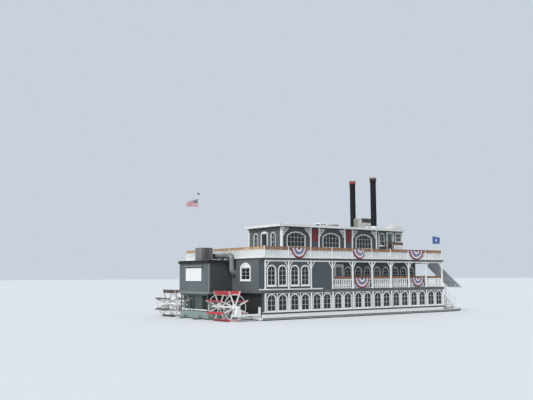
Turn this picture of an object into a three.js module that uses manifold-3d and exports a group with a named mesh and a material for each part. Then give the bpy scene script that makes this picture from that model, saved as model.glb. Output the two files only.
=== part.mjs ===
// Three-deck excursion paddle boat with two stern wheels side by side, at real size.
// Millimetres, +X to the bow, +Y to port, +Z up. The origin is on the flat bottom of the
// hull, on the centreline, halfway along the hull.

import * as THREE from "three";
import { mergeVertices } from "three/addons/utils/BufferGeometryUtils.js";
import Module from "manifold-3d";

const wasm = await Module();
wasm.setup();

// Driving dimensions
const GAP = 0.3; // left between pieces that touch
const BAY = 2500; // post pitch along the sides
const BAYS = 9;
const SIDE_Y = 6750; // outer face of hull sides, side walls and posts
const FIRST_POST_X = -12600;
const LAST_POST_X = FIRST_POST_X + BAYS * BAY;
const WALL = 90; // thickness of every cabin wall
const POST = 100; // square post

// Deck levels: top face of each floor
const MAIN_DECK_Z = 1050;
const SECOND_DECK_Z = 3350;
const THIRD_DECK_Z = 6070;
const EAVE_Z = 9180;
const SECOND_DECK_THICK = 250;
const THIRD_DECK_THICK = 150;
const ROOF_THICK = 220;
const DECK_OVERHANG = 80;

// Hull
const TRANSOM_X = -12900;
const STERN_X = -15600;
const BOW_X = 15600;
const CENTRE_HALF_WIDTH = 2470;
const CENTRE_TOP_Z = 1480;

// Second-deck saloon, third-deck house and stern annex
const AFT_WALL_X = -13220;
const SALOON_STEP_X = FIRST_POST_X + 3 * BAY;
const PROMENADE = 1300;
const SALOON_Y = SIDE_Y - PROMENADE;
const SALOON_FRONT_X = 7300;
const HOUSE_AFT_X = -7820;
const HOUSE_FRONT_X = 8450;
const HOUSE_Y = 2680;
const ANNEX_AFT_X = -15620;
const ANNEX_Y = 2600;
const ANNEX_FLOOR_Z = 3020;
const ANNEX_EAVE_Z = 5700;

// Paddle wheels
const WHEEL_X = -15110;
const WHEEL_Z = 1950;
const WHEEL_R = 1450;
const WHEEL_IN_Y = 3510;
const WHEEL_OUT_Y = 5910;
const SHAFT_R = 90;
const ARMS = 8;
const ROUND = 36; // facets of a shaft and of the bore round it

const paint = (color, roughness, metalness = 0) =>
  new THREE.MeshStandardMaterial({ color, roughness, metalness });
const MATERIALS = {
  white: paint(0xe8e9e6, 0.55),
  grey: paint(0x56606a, 0.6),
  deckGrey: paint(0x4a5158, 0.75),
  roofWhite: paint(0xd9dbd8, 0.6),
  red: paint(0xb3202c, 0.5),
  black: paint(0x1d1e22, 0.45, 0.3),
  galvanised: paint(0x9aa0a4, 0.4, 0.8),
  darkMetal: paint(0x3a3d40, 0.5, 0.6),
  canvas: paint(0x6f757c, 0.9),
  flagCloth: paint(0xb04048, 0.9),
  blueCloth: paint(0x2f5fa8, 0.9),
};

const boat = new THREE.Group();

// Closed mesh to solid, and back

function solidOf(geometry) {
  const bare = geometry.clone();
  bare.deleteAttribute("normal");
  bare.deleteAttribute("uv");
  const merged = mergeVertices(bare, 1e-3);
  return new wasm.Manifold(
    new wasm.Mesh({
      numProp: 3,
      vertProperties: new Float32Array(merged.attributes.position.array),
      triVerts: new Uint32Array(merged.index.array),
    }),
  );
}

function geometryOf(solid) {
  const mesh = solid.getMesh();
  const geometry = new THREE.BufferGeometry();
  geometry.setAttribute("position", new THREE.BufferAttribute(mesh.vertProperties, 3));
  geometry.setIndex(new THREE.BufferAttribute(mesh.triVerts, 1));
  geometry.computeVertexNormals();
  return geometry;
}

const join = (...solids) => solids.flat().reduce((sum, next) => sum.add(next));
const cut = (solid, ...tools) => tools.flat().reduce((left, tool) => left.subtract(tool), solid);

function add(name, solid, material) {
  const mesh = new THREE.Mesh(geometryOf(solid), MATERIALS[material]);
  mesh.name = name;
  boat.add(mesh);
}

// Basic shapes, each placed by its limits in the boat's frame

function block(xa, xb, ya, yb, za, zb) {
  const geometry = new THREE.BoxGeometry(Math.abs(xb - xa), Math.abs(yb - ya), Math.abs(zb - za));
  geometry.translate((xa + xb) / 2, (ya + yb) / 2, (za + zb) / 2);
  return solidOf(geometry);
}

function prism(shape, along, from, to, segments = 3) {
  const [a, b] = [Math.min(from, to), Math.max(from, to)];
  const geometry = new THREE.ExtrudeGeometry(shape, {
    depth: b - a,
    bevelEnabled: false,
    curveSegments: segments,
    steps: 1,
  });
  const X = new THREE.Vector3(1, 0, 0);
  const Y = new THREE.Vector3(0, 1, 0);
  const Z = new THREE.Vector3(0, 0, 1);
  const turn = new THREE.Matrix4();
  if (along === "x") turn.makeBasis(Y, Z, X).setPosition(a, 0, 0);
  if (along === "y") turn.makeBasis(X, Z, Y.clone().negate()).setPosition(0, b, 0);
  if (along === "z") turn.makeBasis(X, Y, Z).setPosition(0, 0, a);
  geometry.applyMatrix4(turn);
  return solidOf(geometry);
}

function polygon(points) {
  return new THREE.Shape(points.map(([u, v]) => new THREE.Vector2(u, v)));
}

// Opening with a flat sill and a round or segmental head
function archedShape(centre, width, sill, top, rise) {
  const half = width / 2;
  const radius = (half * half + rise * rise) / (2 * rise);
  const spread = Math.asin(Math.min(1, half / radius));
  const shape = new THREE.Shape();
  shape.moveTo(centre - half, sill);
  shape.lineTo(centre + half, sill);
  shape.absarc(centre, top - radius, radius, Math.PI / 2 - spread, Math.PI / 2 + spread, false);
  shape.closePath();
  return shape;
}

function cylinder(axis, u, v, from, to, radius, facets = 12) {
  const geometry = new THREE.CylinderGeometry(radius, radius, Math.abs(to - from), facets);
  const middle = (from + to) / 2;
  if (axis === "y") geometry.translate(u, middle, v);
  if (axis === "z") geometry.rotateX(Math.PI / 2).translate(u, v, middle);
  if (axis === "x") geometry.rotateZ(Math.PI / 2).translate(middle, u, v);
  return solidOf(geometry);
}

// A side wall stands in an XZ plane. side is -1 to starboard, +1 to port.
function sideWall(side, outerY, x0, x1, z0, z1, windows, doors = []) {
  const outer = side * outerY;
  const inner = side * (outerY - WALL);
  const beyond = side * (outerY + 50);
  const within = side * (outerY - WALL - 50);
  const tools = windows.map((w) =>
    prism(archedShape(w.x, w.width, w.sill, w.top, w.rise), "y", beyond, within),
  );
  for (const d of doors) tools.push(block(d.x0, d.x1, beyond, within, z0 - 50, d.top));
  return cut(block(x0, x1, outer, inner, z0, z1), tools);
}

// A cross wall stands in a YZ plane, from x0 to x0 + WALL
function crossWall(x0, halfWidth, z0, z1, windows, doors = []) {
  const tools = windows.map((w) =>
    prism(archedShape(w.y, w.width, w.sill, w.top, w.rise), "x", x0 - 50, x0 + WALL + 50),
  );
  for (const d of doors) tools.push(block(x0 - 50, x0 + WALL + 50, d.y0, d.y1, z0 - 50, d.top));
  return cut(block(x0, x0 + WALL, -halfWidth, halfWidth, z0, z1), tools);
}

// Doors. A leaf closes an opening, set between the faces of its wall. Its pin stands proud
// of the outer face. Each hinge has a barrel on the leaf, on top of a barrel on the wall.
const LEAF = 40;
const DOOR_GAP = 10;
const PIN_OUT = 22;
const BARREL_R = 12;
const BARREL_LENGTH = 90;
const STRAP_LENGTH = 70;
const STRAP_THICK = 12;

// across is the opening's direction, out the way the door opens, both unit vectors in plan
function hingedDoor({ pin, across, out, width, z0, z1, hingeHeights }) {
  const at = (u, v) => [pin[0] + across[0] * u + out[0] * v, pin[1] + across[1] * u + out[1] * v];
  const slab = (u0, u1, v0, v1, za, zb) => {
    const [xa, ya] = at(u0, v0);
    const [xb, yb] = at(u1, v1);
    return block(xa, xb, ya, yb, za, zb);
  };
  const leafSolids = [slab(DOOR_GAP / 2, width, -PIN_OUT - LEAF, -PIN_OUT, z0, z1)];
  const wallSolids = [];
  for (const z of hingeHeights) {
    leafSolids.push(
      cylinder("z", pin[0], pin[1], z + GAP / 2, z + BARREL_LENGTH, BARREL_R, 8),
      slab(0, STRAP_LENGTH, -PIN_OUT - 1, -PIN_OUT + STRAP_THICK, z + GAP / 2, z + BARREL_LENGTH),
    );
    wallSolids.push(
      cylinder("z", pin[0], pin[1], z - BARREL_LENGTH, z - GAP / 2, BARREL_R, 8),
      slab(-STRAP_LENGTH, 0, -PIN_OUT - 1, -PIN_OUT + STRAP_THICK, z - BARREL_LENGTH, z - GAP / 2),
    );
  }
  return { leaf: join(leafSolids), knuckles: wallSolids };
}

// Hull: full beam to the bow curve, with the narrow centre section between the wheels

const BOW_CURVE_X = 10400;
const BOW_END_HALF = 2600;
const GUARD = 60;

function planShape(grow) {
  const side = SIDE_Y + grow;
  const tip = BOW_END_HALF + grow;
  const shape = new THREE.Shape();
  shape.moveTo(TRANSOM_X, -side);
  shape.lineTo(BOW_CURVE_X, -side);
  shape.bezierCurveTo(BOW_CURVE_X + 3000, -side, BOW_X + grow - 600, -tip - 2600, BOW_X + grow, -tip);
  shape.lineTo(BOW_X + grow, tip);
  shape.bezierCurveTo(BOW_X + grow - 600, tip + 2600, BOW_CURVE_X + 3000, side, BOW_CURVE_X, side);
  shape.lineTo(TRANSOM_X, side);
  shape.closePath();
  return shape;
}

const RUDDER_Y = 1300;
const RUDDER_X = STERN_X - 170;
const RUDDER_STOCK_R = 45;
const BORE_EXTRA = 0.7;
const GUDGEON_Z = [450, 900]; // lower face of each gudgeon
const GUDGEON_THICK = 90;
const BEARING_IN_Y = [2100, 2400];

function hull() {
  const body = join(
    prism(planShape(0), "z", 0, MAIN_DECK_Z, 8),
    block(STERN_X, TRANSOM_X + 10, -CENTRE_HALF_WIDTH, CENTRE_HALF_WIDTH, 0, MAIN_DECK_Z),
    block(STERN_X, TRANSOM_X - GAP, -CENTRE_HALF_WIDTH, CENTRE_HALF_WIDTH, 0, CENTRE_TOP_Z),
  );
  const profile = polygon([
    [STERN_X, 420],
    [-13700, 0],
    [10400, 0],
    [13600, 260],
    [BOW_X, 620],
    [BOW_X, 2000],
    [STERN_X, 2000],
  ]);
  const raked = body.intersect(prism(profile, "y", -SIDE_Y - 100, SIDE_Y + 100));
  const guard = prism(planShape(GUARD), "z", MAIN_DECK_Z - 110, MAIN_DECK_Z - 20, 8);
  const pieces = [raked, guard];
  for (const side of [-1, 1]) {
    const y = side * RUDDER_Y;
    for (const z of GUDGEON_Z) {
      const ear = block(RUDDER_X - 90, STERN_X + 60, y - 90, y + 90, z, z + GUDGEON_THICK);
      pieces.push(
        cut(ear, cylinder("z", RUDDER_X, y, z - 50, z + 150, RUDDER_STOCK_R + BORE_EXTRA, ROUND)),
      );
    }
    const pillow = block(
      WHEEL_X - 240,
      WHEEL_X + 240,
      side * BEARING_IN_Y[0],
      side * BEARING_IN_Y[1],
      CENTRE_TOP_Z - 60,
      WHEEL_Z + 170,
    );
    const bore = cylinder("y", WHEEL_X, WHEEL_Z, side * 2000, side * 2500, SHAFT_R + BORE_EXTRA, ROUND);
    pieces.push(cut(pillow, bore));
  }
  return join(pieces);
}
add("hull", hull(), "white");

// Rudders on the stern of the centre section

const RUDDER_Z = [60, 1150]; // foot of the blade and head of the stock
const BLADE_TOP = 850;
const BLADE_AFT_X = STERN_X - 860;
const BLADE_THICK = 50;

function rudder(side) {
  const y = side * RUDDER_Y;
  const stock = cylinder("z", RUDDER_X, y, RUDDER_Z[0] + 60, RUDDER_Z[1], RUDDER_STOCK_R, ROUND);
  const collar = cylinder(
    "z",
    RUDDER_X,
    y,
    GUDGEON_Z[1] + GUDGEON_THICK + GAP,
    GUDGEON_Z[1] + GUDGEON_THICK + 70,
    RUDDER_STOCK_R + 35,
    16,
  );
  const half = BLADE_THICK / 2;
  const blade = block(RUDDER_X, BLADE_AFT_X, y - half, y + half, RUDDER_Z[0], BLADE_TOP);
  const slot = block(
    RUDDER_X + 60,
    RUDDER_X - 140,
    y - 60,
    y + 60,
    GUDGEON_Z[0] - 12,
    GUDGEON_Z[0] + GUDGEON_THICK + 12,
  );
  return join(cut(blade, slot), stock, collar);
}
add("rudder_starboard", rudder(-1), "darkMetal");
add("rudder_port", rudder(1), "darkMetal");

// Paddle wheels: two spoked discs on one shaft, with a rim ring on each, and eight boards

const ARM_WIDTH = 90;
const ARM_THICK = 50;
const HUB_R = 260;
const HUB_THICK = 70;
const RIM_R = 0.76 * WHEEL_R;
const RIM_DEPTH = 50;
const BOARD_DEPTH = 330;
const BOARD_THICK = 45;
const SHAFT_IN_Y = 2020;
const SHAFT_OUT_Y = 6600;

function ringBetween(outer, inner, y0, y1) {
  const shape = new THREE.Shape();
  shape.absarc(WHEEL_X, WHEEL_Z, outer, 0, 2 * Math.PI, false);
  const hole = new THREE.Path();
  hole.absarc(WHEEL_X, WHEEL_Z, inner, 0, 2 * Math.PI, true);
  shape.holes.push(hole);
  return prism(shape, "y", y0, y1, 12);
}

function radialBar(angle, r0, r1, width, y0, y1) {
  const geometry = new THREE.BoxGeometry(width, Math.abs(y1 - y0), r1 - r0);
  geometry.translate(0, 0, (r0 + r1) / 2);
  geometry.rotateY(angle);
  geometry.translate(WHEEL_X, (y0 + y1) / 2, WHEEL_Z);
  return solidOf(geometry);
}

function paddleWheel(side) {
  const pieces = [cylinder("y", WHEEL_X, WHEEL_Z, side * SHAFT_IN_Y, side * SHAFT_OUT_Y, SHAFT_R, ROUND)];
  for (const y of [WHEEL_IN_Y, WHEEL_OUT_Y]) {
    const [y0, y1] = [side * (y - HUB_THICK / 2), side * (y + HUB_THICK / 2)];
    pieces.push(cylinder("y", WHEEL_X, WHEEL_Z, y0, y1, HUB_R, 16));
    const [a0, a1] = [side * (y - ARM_THICK / 2), side * (y + ARM_THICK / 2)];
    for (let i = 0; i < ARMS; i++) {
      const angle = ((i + 0.5) * 2 * Math.PI) / ARMS;
      pieces.push(radialBar(angle, SHAFT_R, WHEEL_R, ARM_WIDTH, a0, a1));
    }
    pieces.push(ringBetween(RIM_R, RIM_R - RIM_DEPTH, side * (y - 20), side * (y + 20)));
  }
  for (let i = 0; i < ARMS; i++) {
    const angle = ((i + 0.5) * 2 * Math.PI) / ARMS;
    const outer = WHEEL_R - 10;
    const [b0, b1] = [side * (WHEEL_IN_Y - 60), side * (WHEEL_OUT_Y + 60)];
    pieces.push(radialBar(angle, outer - BOARD_DEPTH, outer, BOARD_THICK, b0, b1));
  }
  return join(pieces);
}
add("paddle_wheel_starboard", paddleWheel(-1), "red");
add("paddle_wheel_port", paddleWheel(1), "red");

// Outrigger beam from the transom to the outboard bearing of each wheel

const OUTRIGGER_Y = [6250, 6520];
const OUTRIGGER_Z = [1230, 1390];
const PILLOW_SHOULDER_Z = 1720;

function outrigger(side) {
  const [y0, y1] = [side * OUTRIGGER_Y[0], side * OUTRIGGER_Y[1]];
  const beam = block(STERN_X - 110, TRANSOM_X - GAP, y0, y1, OUTRIGGER_Z[0], OUTRIGGER_Z[1]);
  const foot = block(TRANSOM_X - 60, TRANSOM_X - GAP, y0, y1, 820, MAIN_DECK_Z + 900);
  const knee = prism(
    polygon([
      [TRANSOM_X - 900, OUTRIGGER_Z[0] + 20],
      [TRANSOM_X - 50, 830],
      [TRANSOM_X - 50, OUTRIGGER_Z[0] + 20],
    ]),
    "y",
    side * (OUTRIGGER_Y[0] + 80),
    side * (OUTRIGGER_Y[1] - 80),
  );
  const pillow = prism(
    polygon([
      [WHEEL_X - 300, OUTRIGGER_Z[1] - 20],
      [WHEEL_X + 300, OUTRIGGER_Z[1] - 20],
      [WHEEL_X + 240, PILLOW_SHOULDER_Z],
      [WHEEL_X + 150, PILLOW_SHOULDER_Z + 30],
      [WHEEL_X + 150, WHEEL_Z + 150],
      [WHEEL_X - 150, WHEEL_Z + 150],
      [WHEEL_X - 150, PILLOW_SHOULDER_Z + 30],
      [WHEEL_X - 240, PILLOW_SHOULDER_Z],
    ]),
    "y",
    y0,
    y1,
  );
  const bore = cylinder("y", WHEEL_X, WHEEL_Z, side * 6200, side * 6600, SHAFT_R + BORE_EXTRA, ROUND);
  return cut(join(beam, foot, knee, pillow), bore);
}
add("outrigger_starboard", outrigger(-1), "white");
add("outrigger_port", outrigger(1), "white");

// Main deck: window walls flush with the hull sides, a closed stern wall, a bow wall with doors

const bayX = (i) => FIRST_POST_X + i * BAY;
const MAIN_WALL_Z = [MAIN_DECK_Z + GAP, SECOND_DECK_Z - SECOND_DECK_THICK - GAP];
const WINDOW_OFFSET = 590; // from the middle of a bay to each of its two windows
const MAIN_WINDOW = { width: 850, sill: 1600, top: 2950, rise: 425 };

function pairedWindows(firstBay, lastBay, window) {
  const list = [];
  for (let i = firstBay; i <= lastBay; i++) {
    for (const s of [-1, 1]) list.push({ ...window, x: bayX(i) + BAY / 2 + s * WINDOW_OFFSET });
  }
  return list;
}

for (const [name, side] of [["starboard", -1], ["port", 1]]) {
  add(
    `main_deck_wall_${name}`,
    sideWall(
      side,
      SIDE_Y,
      TRANSOM_X,
      LAST_POST_X + POST / 2,
      ...MAIN_WALL_Z,
      pairedWindows(0, BAYS - 1, MAIN_WINDOW),
    ),
    "white",
  );
}
add(
  "main_deck_wall_stern",
  crossWall(TRANSOM_X, SIDE_Y - WALL - GAP, ...MAIN_WALL_Z, []),
  "grey",
);

// Pair of doors to the foredeck
const FORE_WALL_X = LAST_POST_X + POST / 2 - WALL;
const FORE_DOOR_HALF = 850;
const FORE_DOOR_TOP = 2960;
const foreDoors = [-1, 1].map((side) =>
  hingedDoor({
    pin: [FORE_WALL_X + WALL + PIN_OUT, side * FORE_DOOR_HALF],
    across: [0, -side],
    out: [1, 0],
    width: FORE_DOOR_HALF - DOOR_GAP / 2,
    z0: MAIN_DECK_Z + 30,
    z1: FORE_DOOR_TOP - DOOR_GAP,
    hingeHeights: [MAIN_DECK_Z + 350, FORE_DOOR_TOP - 350],
  }),
);
const FORE_WINDOWS = [-5400, -3900, -2200, 2200, 3900, 5400];
add(
  "main_deck_wall_bow",
  join(
    crossWall(
      FORE_WALL_X,
      SIDE_Y - WALL - GAP,
      ...MAIN_WALL_Z,
      FORE_WINDOWS.map((y) => ({ ...MAIN_WINDOW, y })),
      [{ y0: -FORE_DOOR_HALF - DOOR_GAP / 2, y1: FORE_DOOR_HALF + DOOR_GAP / 2, top: FORE_DOOR_TOP }],
    ),
    foreDoors.flatMap((d) => d.knuckles),
  ),
  "white",
);
add("foredeck_door_starboard", foreDoors[0].leaf, "grey");
add("foredeck_door_port", foreDoors[1].leaf, "grey");

// Drive engine on the main deck, inside
add("drive_engine", block(-11900, -9400, -800, 800, MAIN_DECK_Z + GAP, MAIN_DECK_Z + 1300), "darkMetal");

// Second deck
const DECK_FRONT_X = LAST_POST_X + POST / 2 + 60;
add(
  "second_deck",
  block(
    AFT_WALL_X,
    DECK_FRONT_X,
    -SIDE_Y - DECK_OVERHANG,
    SIDE_Y + DECK_OVERHANG,
    SECOND_DECK_Z - SECOND_DECK_THICK,
    SECOND_DECK_Z,
  ),
  "deckGrey",
);

// Second-deck saloon: full width aft, then set back behind an open promenade on each side

const SALOON_Z = [SECOND_DECK_Z + GAP, THIRD_DECK_Z - THIRD_DECK_THICK - GAP];
const SALOON_WINDOW = { width: 800, sill: 3770, top: 5400, rise: 400 };
const PROMENADE_WINDOW = { width: 760, sill: 3900, top: 5330, rise: 380 };
const PROMENADE_WINDOW_X = [-2020, -690, 490, 1810, 2990, 4310, 5490, 6600];
const PROMENADE_DOOR = { x0: -3640, x1: -2700, top: 5480 };

for (const [name, side] of [["starboard", -1], ["port", 1]]) {
  add(
    `saloon_aft_wall_${name}`,
    sideWall(
      side,
      SIDE_Y,
      AFT_WALL_X,
      SALOON_STEP_X - POST / 2 - GAP,
      ...SALOON_Z,
      pairedWindows(0, 1, SALOON_WINDOW),
    ),
    "grey",
  );
  const door = hingedDoor({
    pin: [PROMENADE_DOOR.x0 + DOOR_GAP / 2, side * (SALOON_Y + PIN_OUT)],
    across: [1, 0],
    out: [0, side],
    width: PROMENADE_DOOR.x1 - PROMENADE_DOOR.x0 - 1.5 * DOOR_GAP,
    z0: SECOND_DECK_Z + 30,
    z1: PROMENADE_DOOR.top - DOOR_GAP,
    hingeHeights: [SECOND_DECK_Z + 350, PROMENADE_DOOR.top - 350],
  });
  const long = sideWall(
    side,
    SALOON_Y,
    SALOON_STEP_X - WALL,
    SALOON_FRONT_X,
    ...SALOON_Z,
    PROMENADE_WINDOW_X.map((x) => ({ ...PROMENADE_WINDOW, x })),
    [PROMENADE_DOOR],
  );
  const step = block(
    SALOON_STEP_X - WALL,
    SALOON_STEP_X,
    side * (SALOON_Y - 10),
    side * (SIDE_Y - WALL - 2 * GAP - 10),
    ...SALOON_Z,
  );
  add(`saloon_wall_${name}`, join(long, step, door.knuckles), "grey");
  add(`promenade_door_${name}`, door.leaf, "white");
}

const STERN_WINDOW = { width: 1300, sill: 4230, top: 5640, rise: 420 };
add(
  "saloon_stern_wall",
  crossWall(
    AFT_WALL_X,
    SIDE_Y - WALL - GAP,
    ...SALOON_Z,
    [-1, 1].map((s) => ({ ...STERN_WINDOW, y: s * 4710 })),
    [{ y0: -600, y1: 600, top: 5400 }],
  ),
  "grey",
);
add(
  "saloon_bow_wall",
  crossWall(
    SALOON_FRONT_X - WALL,
    SALOON_Y - WALL - GAP,
    ...SALOON_Z,
    [-3600, -2000, 2000, 3600].map((y) => ({ ...PROMENADE_WINDOW, y })),
    [{ y0: -600, y1: 600, top: 5480 }],
  ),
  "grey",
);

// Arcade of posts and round-cornered openings that carries the third deck

const BEAM_BOTTOM = 5760;
const BRACKET = 330;

function arcadeOpening(u0, u1, bottom) {
  const shape = new THREE.Shape();
  shape.moveTo(u0, bottom);
  shape.lineTo(u1, bottom);
  shape.lineTo(u1, BEAM_BOTTOM - BRACKET);
  shape.absarc(u1 - BRACKET, BEAM_BOTTOM - BRACKET, BRACKET, 0, Math.PI / 2, false);
  shape.absarc(u0 + BRACKET, BEAM_BOTTOM - BRACKET, BRACKET, Math.PI / 2, Math.PI, false);
  shape.closePath();
  return shape;
}

function sideArcade(side) {
  const [x0, x1] = [SALOON_STEP_X - POST / 2, LAST_POST_X + POST / 2];
  const [y0, y1] = [side * (SIDE_Y - POST), side * SIDE_Y];
  const tools = [];
  for (let i = 3; i < BAYS; i++) {
    const shape = arcadeOpening(bayX(i) + POST / 2, bayX(i + 1) - POST / 2, SALOON_Z[0] - 50);
    tools.push(prism(shape, "y", side * (SIDE_Y - POST - 50), side * (SIDE_Y + 50), 2));
  }
  return cut(block(x0, x1, y0, y1, ...SALOON_Z), tools);
}

function bowArcade() {
  const [x0, x1] = [LAST_POST_X - POST / 2, LAST_POST_X + POST / 2];
  const end = SIDE_Y - POST - GAP;
  const shape = arcadeOpening(-end + 1, end - 1, SALOON_Z[0] - 50);
  const opening = prism(shape, "x", x0 - 50, x1 + 50, 2);
  const strip = block(x0, x1, -end, end, BEAM_BOTTOM - BRACKET, SALOON_Z[1]);
  return cut(strip, opening);
}
add("promenade_arcade_starboard", sideArcade(-1), "white");
add("promenade_arcade_port", sideArcade(1), "white");
add("promenade_arcade_bow", bowArcade(), "white");

// Promenade balustrade, inside the posts
const RAIL_THICK = 55;
const RAIL_TOP = 4460;
const RAIL_Y = SIDE_Y - POST - GAP;
const RAIL_FRONT_X = LAST_POST_X - POST / 2 - GAP;
for (const [name, side] of [["starboard", -1], ["port", 1]]) {
  add(
    `promenade_railing_${name}`,
    block(
      SALOON_STEP_X + GAP,
      RAIL_FRONT_X,
      side * (RAIL_Y - RAIL_THICK),
      side * RAIL_Y,
      SECOND_DECK_Z + GAP,
      RAIL_TOP,
    ),
    "white",
  );
}
// The bow railing is open at the head of each stair, over a low sill
const STAIR_GATE = [4400, 5900];
const RAIL_SILL = 20;

function bowRailing() {
  const end = RAIL_Y - RAIL_THICK - GAP;
  const [x0, x1] = [RAIL_FRONT_X - RAIL_THICK, RAIL_FRONT_X];
  const foot = SECOND_DECK_Z + GAP;
  const panels = [
    block(x0, x1, -end, end, foot, foot + RAIL_SILL),
    block(x0, x1, -STAIR_GATE[0], STAIR_GATE[0], foot, RAIL_TOP),
  ];
  for (const side of [-1, 1]) {
    panels.push(block(x0, x1, side * STAIR_GATE[1], side * end, foot, RAIL_TOP));
  }
  return join(panels);
}
add("promenade_railing_bow", bowRailing(), "white");

// Third deck and its railing
add(
  "third_deck",
  block(
    AFT_WALL_X,
    DECK_FRONT_X,
    -SIDE_Y - DECK_OVERHANG,
    SIDE_Y + DECK_OVERHANG,
    THIRD_DECK_Z - THIRD_DECK_THICK,
    THIRD_DECK_Z,
  ),
  "roofWhite",
);

const UPPER_RAIL_TOP = 7050;
const UPPER_POST_TOP = 7120;
const CROSS_POST_TOP = 7230;
const UPPER_POST = 80;
const UPPER_PANEL = 40;
const UPPER_AFT_X = -12700;
const STERN_POST_PITCH = 2700;

for (const [name, side] of [["starboard", -1], ["port", 1]]) {
  const pieces = [
    block(
      UPPER_AFT_X,
      LAST_POST_X,
      side * (SIDE_Y - UPPER_PANEL),
      side * SIDE_Y,
      THIRD_DECK_Z + GAP,
      UPPER_RAIL_TOP,
    ),
  ];
  for (let i = 0; i <= BAYS; i++) {
    const x = i === 0 ? UPPER_AFT_X + UPPER_POST / 2 : bayX(i) - (i === BAYS ? UPPER_POST / 2 : 0);
    pieces.push(
      block(
        x - UPPER_POST / 2,
        x + UPPER_POST / 2,
        side * (SIDE_Y - UPPER_POST),
        side * SIDE_Y,
        THIRD_DECK_Z + GAP,
        UPPER_POST_TOP,
      ),
    );
  }
  add(`upper_railing_${name}`, join(pieces), "white");
}

function upperCrossRail(x0, x1, postX0, postX1) {
  const half = SIDE_Y - UPPER_POST - GAP;
  const pieces = [block(x0, x1, -half, half, THIRD_DECK_Z + GAP, UPPER_RAIL_TOP)];
  for (const k of [-1.5, -0.5, 0.5, 1.5]) {
    const y = k * STERN_POST_PITCH;
    pieces.push(
      block(postX0, postX1, y - UPPER_POST / 2, y + UPPER_POST / 2, THIRD_DECK_Z + GAP, CROSS_POST_TOP),
    );
  }
  return join(pieces);
}
add(
  "upper_railing_stern",
  upperCrossRail(UPPER_AFT_X, UPPER_AFT_X + UPPER_PANEL, UPPER_AFT_X, UPPER_AFT_X + UPPER_POST),
  "white",
);
add(
  "upper_railing_bow",
  upperCrossRail(LAST_POST_X - UPPER_PANEL, LAST_POST_X, LAST_POST_X - UPPER_POST, LAST_POST_X),
  "white",
);

// Third-deck house with the pilot's cab on each side at its front end

const HOUSE_Z = [THIRD_DECK_Z + GAP, EAVE_Z - GAP];
const GREAT_WINDOW = { width: 2100, sill: 7290, top: 8720, rise: 400 };
const GREAT_WINDOW_X = [-6030, -1630, 2770];
const NARROW_WINDOW = { width: 620, sill: 7650, top: 8920, rise: 310 };
const NARROW_WINDOW_X = 5380;
const CAB_WINDOW = { width: 860, sill: 8060, top: 8980, rise: 10, x: 7850 };
const CAB_FLOOR_Z = 7000;
const CAB_DOOR = { x0: 6150, x1: 7030, top: 9050 };
const PLATFORM = { x0: 5600, x1: 7780, out: 3330, panelX: 6400, panelTop: 8000 };
const HOUSE_DOOR_HALF = 430;
const HOUSE_DOOR_TOP = 8560;

// Wing platform outside the cab door, with a solid rail along its forward part
function cabPlatform(side) {
  const wall = side * (HOUSE_Y - 20);
  const out = side * PLATFORM.out;
  const rail = side * (PLATFORM.out - 40);
  return join(
    block(PLATFORM.x0, PLATFORM.x1, wall, out, CAB_FLOOR_Z - 90, CAB_FLOOR_Z - 10),
    block(PLATFORM.panelX, PLATFORM.x1, rail, out, CAB_FLOOR_Z - 20, PLATFORM.panelTop),
    block(PLATFORM.x1 - 40, PLATFORM.x1, wall, out, CAB_FLOOR_Z - 20, PLATFORM.panelTop),
  );
}

for (const [name, side] of [["starboard", -1], ["port", 1]]) {
  const door = hingedDoor({
    pin: [CAB_DOOR.x0 + DOOR_GAP / 2, side * (HOUSE_Y - WALL - PIN_OUT)],
    across: [1, 0],
    out: [0, -side],
    width: CAB_DOOR.x1 - CAB_DOOR.x0 - 1.5 * DOOR_GAP,
    z0: CAB_FLOOR_Z + 30,
    z1: CAB_DOOR.top - DOOR_GAP,
    hingeHeights: [CAB_FLOOR_Z + 350, CAB_DOOR.top - 350],
  });
  const windows = GREAT_WINDOW_X.map((x) => ({ ...GREAT_WINDOW, x }));
  windows.push({ ...NARROW_WINDOW, x: NARROW_WINDOW_X }, CAB_WINDOW);
  const wall = cut(
    sideWall(side, HOUSE_Y, HOUSE_AFT_X, HOUSE_FRONT_X, ...HOUSE_Z, windows),
    block(
      CAB_DOOR.x0,
      CAB_DOOR.x1,
      side * (HOUSE_Y - WALL - 50),
      side * (HOUSE_Y + 50),
      CAB_FLOOR_Z,
      CAB_DOOR.top,
    ),
  );
  add(`house_wall_${name}`, join(wall, door.knuckles, cabPlatform(side)), "grey");
  add(`cab_door_${name}`, door.leaf, "white");
}

const houseDoor = hingedDoor({
  pin: [HOUSE_AFT_X - PIN_OUT, -HOUSE_DOOR_HALF],
  across: [0, 1],
  out: [-1, 0],
  width: 2 * HOUSE_DOOR_HALF - DOOR_GAP / 2,
  z0: THIRD_DECK_Z + 130,
  z1: HOUSE_DOOR_TOP - DOOR_GAP,
  hingeHeights: [THIRD_DECK_Z + 450, HOUSE_DOOR_TOP - 350],
});
const HOUSE_STERN_WINDOW = { width: 640, sill: 7290, top: 8640, rise: 320 };
const houseSternWall = cut(
  crossWall(
    HOUSE_AFT_X,
    HOUSE_Y - WALL - GAP,
    ...HOUSE_Z,
    [-1, 1].map((s) => ({ ...HOUSE_STERN_WINDOW, y: s * 1430 })),
  ),
  block(
    HOUSE_AFT_X - 50,
    HOUSE_AFT_X + WALL + 50,
    -HOUSE_DOOR_HALF - DOOR_GAP / 2,
    HOUSE_DOOR_HALF + DOOR_GAP / 2,
    THIRD_DECK_Z + 100,
    HOUSE_DOOR_TOP,
  ),
);
add("house_stern_wall", join(houseSternWall, houseDoor.knuckles), "grey");
add("house_stern_door", houseDoor.leaf, "white");

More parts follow.
